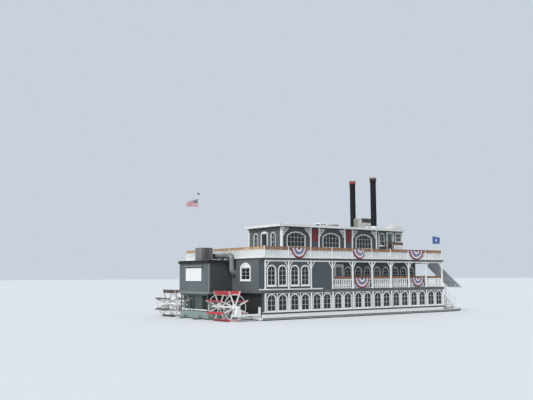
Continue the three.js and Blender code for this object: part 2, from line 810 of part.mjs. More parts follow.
const BRIDGE_WINDOW = { width: 1050, sill: 7900, top: 8980, rise: 10 };
add(
  "house_bow_wall",
  crossWall(
    HOUSE_FRONT_X - WALL,
    HOUSE_Y - WALL - GAP,
    ...HOUSE_Z,
    [-1.5, -0.5, 0.5, 1.5].map((k) => ({ ...BRIDGE_WINDOW, y: k * 1240 })),
  ),
  "grey",
);

const ROOF_OVERHANG = 350;
const ROOF_TOP = EAVE_Z + ROOF_THICK;
const ROOF_STEP_X = 5650;
const CAB_EAVE = [8620, 2880];

function houseRoof() {
  const aft = HOUSE_AFT_X - ROOF_OVERHANG;
  const out = HOUSE_Y + ROOF_OVERHANG;
  const [front, narrow] = CAB_EAVE;
  const outline = [
    [aft, -out],
    [ROOF_STEP_X, -out],
    [ROOF_STEP_X, -narrow],
    [front, -narrow],
    [front, narrow],
    [ROOF_STEP_X, narrow],
    [ROOF_STEP_X, out],
    [aft, out],
  ];
  return prism(polygon(outline), "z", EAVE_Z, ROOF_TOP);
}
add("house_roof", houseRoof(), "roofWhite");

// Bell-curved roof over the pilot's cab on each side

const CAB_ROOF_X = [6770, 8600];
const CAB_ROOF_Y = [1530, 2860];
const CAB_ROOF_RISE = 740;
// share of the half width, share of the rise
const BELL = [
  [1, 0],
  [0.95, 0.12],
  [0.8, 0.36],
  [0.6, 0.48],
  [0.36, 0.6],
  [0.19, 0.88],
];

function cabRoof(side) {
  const middle = [(CAB_ROOF_X[0] + CAB_ROOF_X[1]) / 2, (side * (CAB_ROOF_Y[0] + CAB_ROOF_Y[1])) / 2];
  const half = [(CAB_ROOF_X[1] - CAB_ROOF_X[0]) / 2, (CAB_ROOF_Y[1] - CAB_ROOF_Y[0]) / 2];
  const foot = ROOF_TOP + GAP;
  const corners = [[-1, -1], [1, -1], [1, 1], [-1, 1]];
  const positions = [];
  for (const [wide, high] of BELL) {
    for (const [sx, sy] of corners) {
      positions.push(
        middle[0] + sx * wide * half[0],
        middle[1] + sy * wide * half[1],
        foot + high * CAB_ROOF_RISE,
      );
    }
  }
  const top = BELL.length * 4;
  positions.push(middle[0], middle[1], foot + CAB_ROOF_RISE);
  const faces = [0, 2, 1, 0, 3, 2];
  for (let ring = 0; ring < BELL.length - 1; ring++) {
    for (let k = 0; k < 4; k++) {
      const a = ring * 4 + k;
      const b = ring * 4 + ((k + 1) % 4);
      faces.push(a, b, b + 4, a, b + 4, a + 4);
    }
  }
  const last = (BELL.length - 1) * 4;
  for (let k = 0; k < 4; k++) faces.push(last + k, last + ((k + 1) % 4), top);
  const geometry = new THREE.BufferGeometry();
  geometry.setAttribute("position", new THREE.BufferAttribute(new Float32Array(positions), 3));
  geometry.setIndex(faces);
  return solidOf(geometry);
}
add("cab_roof_starboard", cabRoof(-1), "roofWhite");
add("cab_roof_port", cabRoof(1), "roofWhite");

// Smokestacks, side by side on the roof

const STACK_X = 5320;
const STACK_Y = 1600;
const STACK_R = 310;
const STACK_TOP = 15010;

function smokestack(side) {
  const profile = [
    [0, 0],
    [STACK_R + 70, 0],
    [STACK_R + 70, 120],
    [STACK_R, 120],
    [STACK_R, STACK_TOP - ROOF_TOP - 560],
    [STACK_R + 45, STACK_TOP - ROOF_TOP - 520],
    [STACK_R + 45, STACK_TOP - ROOF_TOP],
    [STACK_R - 15, STACK_TOP - ROOF_TOP],
    [STACK_R - 30, STACK_TOP - ROOF_TOP - 900],
    [0, STACK_TOP - ROOF_TOP - 900],
  ].map(([r, z]) => new THREE.Vector2(r, z));
  const geometry = new THREE.LatheGeometry(profile, 20);
  geometry.rotateX(Math.PI / 2);
  geometry.translate(STACK_X, side * STACK_Y, ROOF_TOP + GAP);
  return solidOf(geometry);
}
add("smokestack_starboard", smokestack(-1), "black");
add("smokestack_port", smokestack(1), "black");

// Air handling unit between the stacks
add("roof_air_unit", block(4500, 6100, -600, 600, ROOF_TOP + GAP, ROOF_TOP + 1260), "galvanised");

// Stern annex, a grey cabin that overhangs the centre section between the wheels

const ANNEX_ROOF_THICK = 240;
add(
  "annex_floor",
  block(ANNEX_AFT_X, AFT_WALL_X - GAP, -ANNEX_Y, ANNEX_Y, ANNEX_FLOOR_Z, ANNEX_FLOOR_Z + 150),
  "deckGrey",
);
const ANNEX_WALL_Z = [ANNEX_FLOOR_Z + 150 + GAP, ANNEX_EAVE_Z - GAP];
for (const [name, side] of [["starboard", -1], ["port", 1]]) {
  add(
    `annex_wall_${name}`,
    sideWall(side, ANNEX_Y, ANNEX_AFT_X + WALL + GAP, AFT_WALL_X - GAP, ...ANNEX_WALL_Z, []),
    "grey",
  );
}
add("annex_wall_stern", crossWall(ANNEX_AFT_X, ANNEX_Y, ...ANNEX_WALL_Z, []), "grey");
const ANNEX_ROOF_Z = ANNEX_EAVE_Z + ANNEX_ROOF_THICK;
add(
  "annex_roof",
  block(
    ANNEX_AFT_X - 120,
    AFT_WALL_X - GAP,
    -ANNEX_Y - 120,
    ANNEX_Y + 120,
    ANNEX_EAVE_Z,
    ANNEX_ROOF_Z,
  ),
  "black",
);

// Casing, posts and cross beam that stand on the centre section and carry the annex

const SUPPORT_X = [STERN_X - 60, STERN_X + 60];
const SUPPORT_POSTS_Y = [2300, 750, 150, -2300];
const SUPPORT_TOP = ANNEX_FLOOR_Z - GAP;
const SUPPORT_BEAM_DEPTH = 130;

function annexSupport() {
  const foot = CENTRE_TOP_Z + GAP;
  const pieces = [
    block(SUPPORT_X[1] - 5, TRANSOM_X - GAP, -1330, -100, foot, SUPPORT_TOP),
    block(...SUPPORT_X, -2360, 2360, SUPPORT_TOP - SUPPORT_BEAM_DEPTH, SUPPORT_TOP),
  ];
  for (const y of SUPPORT_POSTS_Y) {
    pieces.push(
      block(SUPPORT_X[1] - 55, SUPPORT_X[1], y - 60, y + 60, foot, SUPPORT_TOP - SUPPORT_BEAM_DEPTH + 20),
    );
  }
  return join(pieces);
}
add("annex_support", annexSupport(), "galvanised");

// Air unit on the annex roof, with its round duct over the edge and down to the saloon wall

function annexUnit() {
  const unit = block(-15430, -14250, -1000, 120, ANNEX_ROOF_Z + GAP, ANNEX_ROOF_Z + 1170);
  const path = new THREE.CatmullRomCurve3(
    [
      [-14400, -500, 6330],
      [-13750, -700, 6330],
      [-13560, -1500, 6330],
      [-13560, -2400, 6330],
      [-13560, -2960, 6150],
      [-13560, -3080, 5500],
      [-13560, -3080, 4700],
    ].map((p) => new THREE.Vector3(...p)),
    false,
    "centripetal",
  );
  const section = new THREE.Shape();
  section.absarc(0, 0, 220, 0, 2 * Math.PI, false);
  const duct = solidOf(
    new THREE.ExtrudeGeometry(section, { steps: 24, curveSegments: 6, extrudePath: path }),
  );
  const foot = block(-13700, AFT_WALL_X - GAP, -3300, -2860, 4650, 5050);
  return join(unit, duct, foot);
}
add("annex_air_unit", annexUnit(), "galvanised");

// Flag staffs and their flags
const ENSIGN = [-14800, 680];
const STAFF_R = 42;
add(
  "ensign_staff",
  join(
    cylinder("z", ...ENSIGN, ANNEX_ROOF_Z + GAP, 12050, STAFF_R, 10),
    cylinder("z", ...ENSIGN, 12040, 12200, 90, 10),
    cylinder("z", ...ENSIGN, ANNEX_ROOF_Z + GAP, ANNEX_ROOF_Z + 60, 150, 10),
  ),
  "white",
);
const JACK_R = 30;
const JACK = [LAST_POST_X - UPPER_POST - 45 - GAP, -5650];
add(
  "jack_staff",
  join(
    cylinder("z", ...JACK, THIRD_DECK_Z + GAP, 8700, JACK_R, 10),
    cylinder("z", ...JACK, THIRD_DECK_Z + GAP, THIRD_DECK_Z + 40, 44, 10),
  ),
  "white",
);

// Each flag flies towards a corner of its faceted staff. Directions in degrees from +X.
const ENSIGN_WAY = 126;
const JACK_WAY = -18;

function flag(pole, staffRadius, direction, length, z0, z1, thick) {
  const geometry = new THREE.BoxGeometry(length, thick, z1 - z0);
  geometry.translate(staffRadius + GAP + length / 2, 0, 0);
  geometry.rotateZ(THREE.MathUtils.degToRad(direction));
  geometry.translate(pole[0], pole[1], (z0 + z1) / 2);
  return solidOf(geometry);
}
add("ensign_flag", flag(ENSIGN, STAFF_R, ENSIGN_WAY, 1300, 10880, 11630, 60), "flagCloth");
add("jack_flag", flag(JACK, JACK_R, JACK_WAY, 900, 7950, 8600, 50), "blueCloth");

// Stairs from the foredeck to the second deck, one by each bow corner, with a header for
// the canvas over them

const STAIR_Y = [4450, 5850]; // inner and outer face of a stair
const STRINGER = 50; // thickness of a stringer, and width of the newels
const STRINGER_EDGES = [-250, 60]; // lower and upper edge over the line of the nosings
const STRINGER_FOOT_X = 12960;
const NEWEL_SINK = 70; // depth of a newel's foot below the nosings
const NARROWER = [3, 6]; // how much newels and handrail stand inside the stringer's faces
const TREAD_INSET = 20; // how far each end of a tread stops from the stringer's outer face
const RISERS = 11;
const RISE = (SECOND_DECK_Z - MAIN_DECK_Z) / RISERS;
const GOING = 290;
const STAIR_FOOT_X = 12900;
const TREAD_THICK = 40;
const NOSE_OUT = 20;
const STAIR_RAIL = [860, 905]; // lower and upper edge of the handrail over the nosings
const STAIR_HEAD_X = DECK_FRONT_X + GAP;
const CANOPY_POST_X = [13020, 13080];
const CANOPY_HIGH = [DECK_FRONT_X + 40, 5800];
const CANOPY_TIP = [13800, 3260];
const CANOPY_Y = [4200, 6100];
const CANVAS = 40;
const HEADER_DEPTH = 80;
const LEDGER_Z = [5765, THIRD_DECK_Z - THIRD_DECK_THICK - GAP];

const noseZ = (x) => MAIN_DECK_Z + RISE + ((STAIR_FOOT_X - x) * RISE) / GOING;

function canopyZ(x) {
  const [hx, hz] = CANOPY_HIGH;
  const [tx, tz] = CANOPY_TIP;
  return hz + ((x - hx) * (tz - hz)) / (tx - hx);
}

function sloping(x0, x1, below, above, y0, y1) {
  const corners = [
    [x0, noseZ(x0) + below],
    [x1, noseZ(x1) + below],
    [x1, noseZ(x1) + above],
    [x0, noseZ(x0) + above],
  ];
  return prism(polygon(corners), "y", y0, y1);
}

function stairSide(y) {
  const deck = MAIN_DECK_Z + GAP;
  const half = STRINGER / 2;
  const [p0, p1] = CANOPY_POST_X;
  const stringer = sloping(STAIR_HEAD_X, STRINGER_FOOT_X, ...STRINGER_EDGES, y - half, y + half);
  const underDeck = block(STAIR_HEAD_X - 50, STRINGER_FOOT_X + 50, y - 100, y + 100, 0, deck);
  const [newelHalf, railHalf] = NARROWER.map((less) => half - less);
  const pieces = [
    cut(stringer, underDeck),
    sloping(STAIR_HEAD_X + 20, (p0 + p1) / 2, ...STAIR_RAIL, y - railHalf, y + railHalf),
    block(p0 + 5, p1 - 5, y - half, y + half, deck, canopyZ(p1) - CANVAS - 20),
  ];
  for (const x of [STAIR_HEAD_X + 10, (STAIR_HEAD_X + p0) / 2]) {
    const [z0, z1] = [noseZ(x) - NEWEL_SINK, noseZ(x) + STAIR_RAIL[0] + 20];
    pieces.push(block(x, x + STRINGER, y - newelHalf, y + newelHalf, z0, z1));
  }
  return join(pieces);
}

function bowStair(side) {
  const [inner, outer] = STAIR_Y;
  const [p0, p1] = CANOPY_POST_X;
  const pieces = [stairSide(side * (inner + STRINGER / 2)), stairSide(side * (outer - STRINGER / 2))];
  for (let k = 1; k < RISERS; k++) {
    const x = STAIR_FOOT_X - k * GOING;
    const z = MAIN_DECK_Z + k * RISE;
    const x0 = Math.max(x, STAIR_HEAD_X + 15);
    const [y0, y1] = [side * (inner + TREAD_INSET), side * (outer - TREAD_INSET)];
    pieces.push(block(x0, x + GOING + NOSE_OUT, y0, y1, z - TREAD_THICK, z));
  }
  const header = polygon([
    [p0, canopyZ(p0) - CANVAS - HEADER_DEPTH],
    [p1, canopyZ(p0) - CANVAS - HEADER_DEPTH],
    [p1, canopyZ(p1) - CANVAS - GAP],
    [p0, canopyZ(p0) - CANVAS - GAP],
  ]);
  pieces.push(prism(header, "y", side * (CANOPY_Y[0] + 50), side * (CANOPY_Y[1] - 50)));
  return join(pieces);
}

const STAIR_BOARD = block(
  STAIR_HEAD_X,
  STAIR_HEAD_X + 40,
  -STAIR_Y[1] + 15,
  STAIR_Y[1] - 15,
  SECOND_DECK_Z - SECOND_DECK_THICK + 10,
  SECOND_DECK_Z - 10,
);
add("bow_stairs", join(bowStair(-1), bowStair(1), STAIR_BOARD), "white");

// Canvas canopy over each stair, and the ledger under the third deck that carries both

function canopy(side) {
  const [hx, hz] = CANOPY_HIGH;
  const [tx, tz] = CANOPY_TIP;
  const corners = [
    [hx, hz - CANVAS],
    [tx, tz - CANVAS],
    [tx, tz],
    [hx, hz],
  ];
  return prism(polygon(corners), "y", side * CANOPY_Y[0], side * CANOPY_Y[1]);
}

const LEDGER = block(
  LAST_POST_X + POST / 2 + GAP,
  CANOPY_HIGH[0] + 20,
  -CANOPY_Y[1],
  CANOPY_Y[1],
  ...LEDGER_Z,
);
add("bow_canopies", join(LEDGER, canopy(-1), canopy(1)), "canvas");

export default boat;
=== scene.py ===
import math

import bmesh
import bpy
from mathutils import Matrix, Vector


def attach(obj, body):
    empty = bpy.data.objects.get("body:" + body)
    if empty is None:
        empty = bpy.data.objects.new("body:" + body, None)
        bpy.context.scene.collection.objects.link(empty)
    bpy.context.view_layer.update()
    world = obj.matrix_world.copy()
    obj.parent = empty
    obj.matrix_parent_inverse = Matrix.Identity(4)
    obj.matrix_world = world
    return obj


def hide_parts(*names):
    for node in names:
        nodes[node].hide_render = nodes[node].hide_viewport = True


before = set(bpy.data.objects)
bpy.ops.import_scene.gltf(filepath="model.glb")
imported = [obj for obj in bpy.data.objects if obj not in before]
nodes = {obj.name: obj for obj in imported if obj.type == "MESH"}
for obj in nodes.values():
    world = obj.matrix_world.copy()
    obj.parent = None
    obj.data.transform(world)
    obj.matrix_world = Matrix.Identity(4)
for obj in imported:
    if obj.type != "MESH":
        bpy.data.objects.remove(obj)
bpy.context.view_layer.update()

# The view is from the shore, astern on the starboard side, with the eye 3.7 m above the
# water. The picture is 533 by 400 pixels. The boat floats with 0.8 m of its hull under
# water, so the pale studio floor lies at that height.
PICTURE_WIDTH = 533
FOCAL_PIXELS = 694.94
EYE = Vector((-46.97, -54.63, 4.54))
YAW, PITCH, ROLL = 0.625, 0.109, -0.005
bpy.ops.object.camera_add()
camera = bpy.context.object
camera.name = "shore_camera"
camera.data.sensor_width = 36
camera.data.lens = 36 * FOCAL_PIXELS / PICTURE_WIDTH
camera.data.clip_end = 2000
camera.matrix_world = (
    Matrix.Translation(EYE)
    @ Matrix.Rotation(-YAW, 4, "Z")
    @ Matrix.Rotation(math.pi / 2 + PITCH, 4, "X")
    @ Matrix.Rotation(ROLL, 4, "Z")
)
bpy.context.scene.camera = camera

WATERLINE = 0.8
FLOOR_RADIUS = 900
bpy.ops.mesh.primitive_circle_add(
    vertices=64, radius=FLOOR_RADIUS, fill_type="NGON", location=(0, 0, WATERLINE)
)
floor = bpy.context.object
floor.name = "studio_floor"
floor_paint = bpy.data.materials.new("studio_floor")
floor_paint.use_nodes = True
floor_sockets = floor_paint.node_tree.nodes["Principled BSDF"].inputs
floor_sockets["Base Color"].default_value = (0.62, 0.64, 0.66, 1)
floor_sockets["Roughness"].default_value = 0.9
floor.data.materials.append(floor_paint)

studio = bpy.data.worlds.new("studio")
studio.use_nodes = True
sky_sockets = studio.node_tree.nodes["Background"].inputs
sky_sockets["Color"].default_value = (0.74, 0.82, 0.92, 1)
sky_sockets["Strength"].default_value = 0.78
bpy.context.scene.world = studio
bpy.context.scene.view_settings.view_transform = "Standard"

# One broad key light from astern and above, a little to starboard
KEY_FROM = Vector((-0.66, -0.26, 0.74))
bpy.ops.object.light_add(type="SUN", location=(-40, -20, 60))
key_light = bpy.context.object
key_light.name = "key_light"
key_light.data.energy = 2.6
key_light.data.angle = math.radians(14)
key_light.data.color = (1.0, 0.97, 0.92)
key_light.rotation_euler = KEY_FROM.to_track_quat("Z", "Y").to_euler()


# Hull: welded steel barge hull. A white band runs round it above the water, over
# bottom paint. The narrow part between the wheels is painted grey-green. Water has left
# a scum line, and rust runs down from the guard and the plate seams.
class Wire:
    """A shader socket. Arithmetic on it adds Math nodes, and node() adds any other."""

    def __init__(self, tree, socket=None):
        self.tree = tree
        self.socket = socket

    def node(self, kind, settings=None, *values, output=None, **named):
        made = self.tree.nodes.new("ShaderNode" + kind)
        for key, value in (settings or {}).items():
            if key == "stops":
                ramp = made.color_ramp
                while len(ramp.elements) < len(value):
                    ramp.elements.new(1.0)
                for element, (position, colour) in zip(ramp.elements, value):
                    element.position = position
                    element.color = (*colour, 1)
            else:
                setattr(made, key, value)
        sockets = [s for s in made.inputs if s.enabled]
        pairs = list(zip(sockets, values))
        for key, value in named.items():
            wanted = key.replace("_", " ")
            pairs.append((next(s for s in sockets if s.name == wanted), value))
        for socket, value in pairs:
            if isinstance(value, Wire):
                self.tree.links.new(value.socket, socket)
            elif value is not None:
                if socket.type == "RGBA":
                    value = (*value[:3], 1)
                socket.default_value = value
        shown = [s for s in made.outputs if s.enabled]
        chosen = shown[0] if output is None else next(s for s in shown if s.name == output)
        return Wire(self.tree, chosen)

    def math(self, operation, *values):
        return self.node("Math", {"operation": operation}, *values)

    def __add__(self, other):
        return self.math("ADD", self, other)

    __radd__ = __add__

    def __sub__(self, other):
        return self.math("SUBTRACT", self, other)

    def __rsub__(self, other):
        return self.math("SUBTRACT", other, self)

    def __mul__(self, other):
        return self.math("MULTIPLY", self, other)

    __rmul__ = __mul__

    def __truediv__(self, other):
        return self.math("DIVIDE", self, other)

    def __gt__(self, other):
        return self.math("GREATER_THAN", self, other)

    def __lt__(self, other):
        return self.math("LESS_THAN", self, other)

    def __mod__(self, other):
        return self.math("FLOORED_MODULO", self, other)

    def absolute(self):
        return self.math("ABSOLUTE", self)

    def bump(self, strength, distance):
        """The normals that this height gives."""
        return self.node("Bump", None, strength, distance, Height=self)

    def joints(self, pitch, low, high):
        """A line across this axis at each pitch, 1 in the joint and 0 beside it."""
        return ((self / pitch) % 1.0 - 0.5).absolute().ramp(low, high)

    def ramp(self, low, high):
        """0 up to low, 1 from high on, and smooth between them."""
        return self.node("MapRange", {"interpolation_type": "SMOOTHSTEP"}, self, low, high, 0.0, 1.0)

    def blend(self, share, other):
        """This colour, with a share of the other colour over it."""
        return self.node("Mix", {"data_type": "RGBA"}, share, self, other)

    def noise(self, scale, detail=3.0, stretch=None, rough=0.55):
        place = self if stretch is None else self.node("Mapping", None, self, None, None, stretch)
        return place.node("TexNoise", None, place, Scale=scale, Detail=detail, Roughness=rough)


def new_finish(name):
    """An empty material, with the wire of its Object coordinates and its surface shader."""
    material = bpy.data.materials.new(name)
    material.use_nodes = True
    tree = material.node_tree
    place = Wire(tree).node("TexCoord", output="Object")
    return material, place, tree.nodes["Principled BSDF"]


def feed(shader, **values):
    """Sets the shader's sockets, each to a wire or to a plain value."""
    for key, value in values.items():
        socket = shader.inputs[key.replace("_", " ")]
        if isinstance(value, Wire):
            value.tree.links.new(value.socket, socket)
        elif socket.type == "RGBA":
            socket.default_value = (*value[:3], 1)
        else:
            socket.default_value = value


def axis(place, letter):
    return place.node("SeparateXYZ", None, place, output=letter)


def constant(place, rgb):
    return place.node("Mix", {"data_type": "RGBA"}, 0.0, rgb, rgb)


def weathering(place, amount):
    """Where soil lies, from 0 to 1: vertical runs, with broad patches through them."""
    runs = place.noise(1.0, 4.0, (2.6, 2.6, 0.22)).ramp(0.5, 0.78)
    patches = place.noise(0.55, 5.0).ramp(0.42, 0.72)
    return (runs * 0.65 + patches * 0.35) * amount


def both(*names):
    """The same nodes to starboard and to port."""
    return [f"{name}_{side}" for name in names for side in ("starboard", "port")]


def dress(node_names, material):
    for name in node_names:
        mesh = nodes[name].data
        mesh.materials.clear()
        mesh.materials.append(material)


def shade(rgb, share):
    """A lighter or darker colour of the same paint."""
    return tuple(min(1.0, c * share) for c in rgb)


WHITE = (0.80, 0.81, 0.80)
GREY = (0.062, 0.073, 0.080)
# The end walls' grey is the same blue-grey paint as GREY, made lighter as painted light, as on a sunlit
# face; the side walls keep the darker GREY.
LIT_END_GREY = (0.090, 0.106, 0.112)
SOIL = (0.25, 0.22, 0.17)
RUST = (0.24, 0.09, 0.035)
BOTTOM_PAINT = (0.028, 0.035, 0.038)
SCUM = (0.09, 0.10, 0.05)
STERN_GREEN = (0.20, 0.27, 0.26)
GUARD_GREY = (0.16, 0.17, 0.18)
PLATE_PITCH = 3.1

hull_paint, place, shader = new_finish("hull_paint")
x, y, z = (axis(place, letter) for letter in "XYZ")
ripple = place.noise(3.0, 3.0, (1, 1, 0.2)) * 0.06
between_wheels = (x < -12.95) * (y.absolute() < 2.5)
topside = constant(place, WHITE).blend(between_wheels, STERN_GREEN)
on_guard = (y.absolute() > 6.76) + ((z > 0.935) * (z < 1.035) * (x > 10.4))
topside = topside.blend(on_guard.ramp(0.4, 0.6), GUARD_GREY)
topside = topside.blend(weathering(place, 0.45), SOIL)
seam = x.joints(PLATE_PITCH, 0.496, 0.4995)
rust_runs = place.noise(1.0, 5.0, (6.5, 6.5, 0.5)).ramp(0.62, 0.78) * (1.25 - z).ramp(0.0, 0.3)
topside = topside.blend(rust_runs * 0.55, RUST)
topside = topside.blend(seam * 0.35, RUST)
wet = (WATERLINE + 0.045 + ripple - z).ramp(-0.02, 0.03)
scum = (WATERLINE + 0.16 + ripple - z).ramp(0.0, 0.12) * 0.6
skin = topside.blend(scum, SCUM).blend(wet, BOTTOM_PAINT)
dimples = place.noise(1.4, 2.0) * 0.5 + place.noise(60.0, 2.0) * 0.02
relief = (dimples + seam * 0.3).bump(0.35, 0.05)
feed(shader, Base_Color=skin, Roughness=place.noise(2.0).ramp(0.2, 0.9) * 0.25 + 0.35, Normal=relief)
dress(["hull"], hull_paint)


# Rudders: steel plate on round stocks that turn in the gudgeons. They are painted with
# bottom paint, which rust has lifted in blisters.
rudder_paint, place, shader = new_finish("rudder_paint")
blisters = place.noise(14.0, 6.0).ramp(0.5, 0.66)
feed(
    shader,
    Base_Color=constant(place, (0.045, 0.05, 0.052)).blend(blisters, RUST),
    Roughness=blisters * 0.3 + 0.55,
    Normal=blisters.bump(0.5, 0.01),
)
dress(both("rudder"), rudder_paint)


# White enamel on wood and steel trim: brushed on, soiled where rain runs and rusty at
# the fastenings
def enamel(name, base, soil=SOIL, amount=0.35, gloss=0.42, rust=0.0, boards=None):
    """A weathered paint. boards is (letter, pitch) for grooves across that axis."""
    material, place, shader = new_finish(name)
    skin = constant(place, base).blend(weathering(place, amount), soil)
    dulled = place.noise(0.9, 3.0).ramp(0.35, 0.7) * 0.16
    skin = skin.blend(dulled, shade(base, 0.72))
    if rust:
        spots = place.noise(5.0, 6.0, (1, 1, 0.45)).ramp(0.66, 0.74) * rust
        skin = skin.blend(spots, RUST)
    height = place.noise(45.0, 3.0) * 0.08
    if boards:
        letter, pitch = boards
        groove = axis(place, letter).joints(pitch, 0.485, 0.4985)
        skin = skin.blend(groove * 0.5, shade(base, 0.35))
        height = height - groove
    feed(
        shader,
        Base_Color=skin,
        Roughness=place.noise(3.5, 4.0).ramp(0.3, 0.75) * 0.22 + gloss,
        Normal=height.bump(0.3, 0.012),
    )
    return material


trim_white = enamel("trim_white", WHITE)
dress(both("outrigger"), enamel("outrigger_white", WHITE, amount=0.5, rust=0.9))


# Stern rail: a white pipe across the centre section, over the transom, on short feet
def alone(piece):
    """Only this piece is selected, and operators act on it."""
    bpy.ops.object.select_all(action="DESELECT")
    piece.select_set(True)
    bpy.context.view_layer.objects.active = piece
    return piece


def settle(piece):
    """The piece's place and turn go into its mesh."""
    alone(piece)
    bpy.ops.object.transform_apply(location=True, rotation=True, scale=True)
    return piece


def finish_with(piece, kind, **settings):
    """Adds a modifier and applies it."""
    alone(piece)
    modifier = piece.modifiers.new(kind.lower(), kind)
    for key, value in settings.items():
        setattr(modifier, key, value)
    bpy.ops.object.modifier_apply(modifier=modifier.name)
    return piece


def eased(piece, width, segments=1):
    """Takes off the sharp edges."""
    return finish_with(piece, "BEVEL", width=width, segments=segments, limit_method="ANGLE")


def bar(low, high, ease=0.008):
    """A sawn bar between two corners, with its edges eased."""
    size = [b - a for a, b in zip(low, high)]
    middle = [(a + b) / 2 for a, b in zip(low, high)]
    bpy.ops.mesh.primitive_cube_add(size=1, location=middle, scale=size)
    piece = settle(bpy.context.object)
    if ease:
        finish_with(piece, "BEVEL", width=ease, segments=1)
    return piece


def rod(start, end, radius, sides=12, ease=0.0):
    """A round bar from one point to another."""
    start, end = Vector(start), Vector(end)
    along = end - start
    turn = along.to_track_quat("Z", "Y").to_euler()
    bpy.ops.mesh.primitive_cylinder_add(
        vertices=sides, radius=radius, depth=along.length, location=(start + end) / 2, rotation=turn
    )
    piece = settle(bpy.context.object)
    if ease:
        eased(piece, ease)
    bpy.ops.object.shade_smooth_by_angle(angle=math.radians(40))
    return piece


def together(pieces, name, material=None, body="boat", slot=None):
    """Pieces joined into one, named, painted and riding on a body."""
    bpy.ops.object.select_all(action="DESELECT")
    for piece in pieces:
        piece.select_set(True)
    bpy.context.view_layer.objects.active = pieces[0]
    if len(pieces) > 1:
        bpy.ops.object.join()
    piece = bpy.context.object
    piece.name = piece.data.name = name
    if material:
        piece.data.materials.clear()
        piece.data.materials.append(material)
    if body:
        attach(piece, body)
    return piece


def copied(piece, matrix):
    """A copy with its own mesh, moved by a matrix."""
    copy = piece.copy()
    copy.data = piece.data.copy()
    copy.data.transform(matrix)
    if matrix.determinant() < 0:
        copy.data.flip_normals()
    bpy.context.scene.collection.objects.link(copy)
    return copy


def repeated(piece, matrices):
    """Copies of a piece by a list of matrices. The pattern piece itself goes."""
    made = [copied(piece, matrix) for matrix in matrices]
    bpy.data.objects.remove(piece)
    return made


def shift(dx=0.0, dy=0.0, dz=0.0):
    return Matrix.Translation((dx, dy, dz))


PORT_SIDE = Matrix.Scale(-1, 4, (0, 1, 0))
END_FOR_END = Matrix.Scale(-1, 4, (1, 0, 0))


def twins(pieces, name, material, bodies=("boat", "boat"), stands_for=None):
    """Starboard pieces joined into one, and its mirror image to port."""
    starboard = together(pieces, name, material, body=None)
    made = (starboard, copied(starboard, PORT_SIDE))
    for side, piece, body in zip(("starboard", "port"), made, bodies):
        piece.name = piece.data.name = f"{name}_{side}"
        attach(piece, body)
        if stands_for:
            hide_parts(f"{stands_for}_{side}")
    return made


PIPE_X, PIPE_Z, PIPE_HALF = -15.53, 1.6, 2.38
stern_pipe = [rod((PIPE_X, -PIPE_HALF, PIPE_Z), (PIPE_X, PIPE_HALF, PIPE_Z), 0.055, 16, 0.01)]
for foot_y in (-2.2, -1.1, 0.45, 1.4, 2.2):
    stern_pipe.append(rod((PIPE_X, foot_y, 1.48), (PIPE_X, foot_y, PIPE_Z), 0.03))
together(stern_pipe, "stern_pipe", enamel("pipe_white", WHITE, amount=0.5, rust=0.8), slot="white_paint")


# Paddle wheels: white flat-bar arms bolted to cast hubs, a thin rim ring on each disc,
# and planks bolted across the ends of the arms, red to starboard and dark brown to port.
# They replace the plain wheel solids.
HUB = Vector((-15.11, 0, 1.95))
WHEEL_RADIUS = 1.45
DISC_Y = (3.51, 5.91)
BEARING_Y = 6.385
ARM_COUNT = 8
RIM_RADIUS = 1.085
ACROSS = (math.pi / 2, 0, 0)


def round_hub(angle):
    """Turns a part of the wheel about the shaft."""
    centre = Matrix.Translation(HUB)
    return centre @ Matrix.Rotation(angle, 4, "Y") @ centre.inverted()


def pick(kind, test):
    """In edit mode, selects the vertices, edges or faces whose middle passes the test."""
    bpy.context.tool_settings.mesh_select_mode = (kind == "verts", kind == "edges", kind == "faces")
    bpy.ops.mesh.select_all(action="DESELECT")
    mesh = bmesh.from_edit_mesh(bpy.context.object.data)
    for part in getattr(mesh, kind):
        if kind == "verts":
            middle = part.co
        elif kind == "edges":
            middle = (part.verts[0].co + part.verts[1].co) / 2
        else:
            middle = part.calc_center_median()
        if test(middle):
            part.select_set(True)
    mesh.select_flush_mode()
    bmesh.update_edit_mesh(bpy.context.object.data)


def editing(piece):
    alone(piece)
    bpy.ops.object.mode_set(mode="EDIT")


def done():
    bpy.ops.object.mode_set(mode="OBJECT")


def everything():
    bpy.ops.mesh.select_all(action="SELECT")


def extrude(x=0.0, y=0.0, z=0.0):
    bpy.ops.mesh.extrude_region_move(TRANSFORM_OT_translate={"value": (x, y, z)})


def face_out():
    """In edit mode, turns all the normals outward."""
    everything()
    bpy.ops.mesh.normals_make_consistent(inside=False)


def bordered_field(piece, test, border, slope, depth):
    """Raises the faces that pass the test, inside a border, or sinks them by a depth below 0."""
    editing(piece)
    pick("faces", test)
    bpy.ops.mesh.inset(thickness=border)
    bpy.ops.mesh.inset(thickness=slope, depth=depth)
    done()
    return piece


def hoop(centre, major, minor, around, across, turn=(0, 0, 0)):
    """A round bar bent to a ring."""
    bpy.ops.mesh.primitive_torus_add(
        major_radius=major,
        minor_radius=minor,
        major_segments=around,
        minor_segments=across,
        location=centre,
        rotation=turn,
    )
    return settle(bpy.context.object)


def wheel_arm(y):
    """A flat bar that narrows to its outer end."""
    piece = bar(
        (HUB.x - 0.075, y - 0.02, HUB.z + 0.1), (HUB.x + 0.075, y + 0.02, HUB.z + WHEEL_RADIUS - 0.005), 0
    )
    editing(piece)
    pick("verts", lambda v: v.z > HUB.z + 1)
    bpy.ops.transform.resize(value=(0.72, 1, 1))
    done()
    return finish_with(piece, "BEVEL", width=0.006, segments=1)


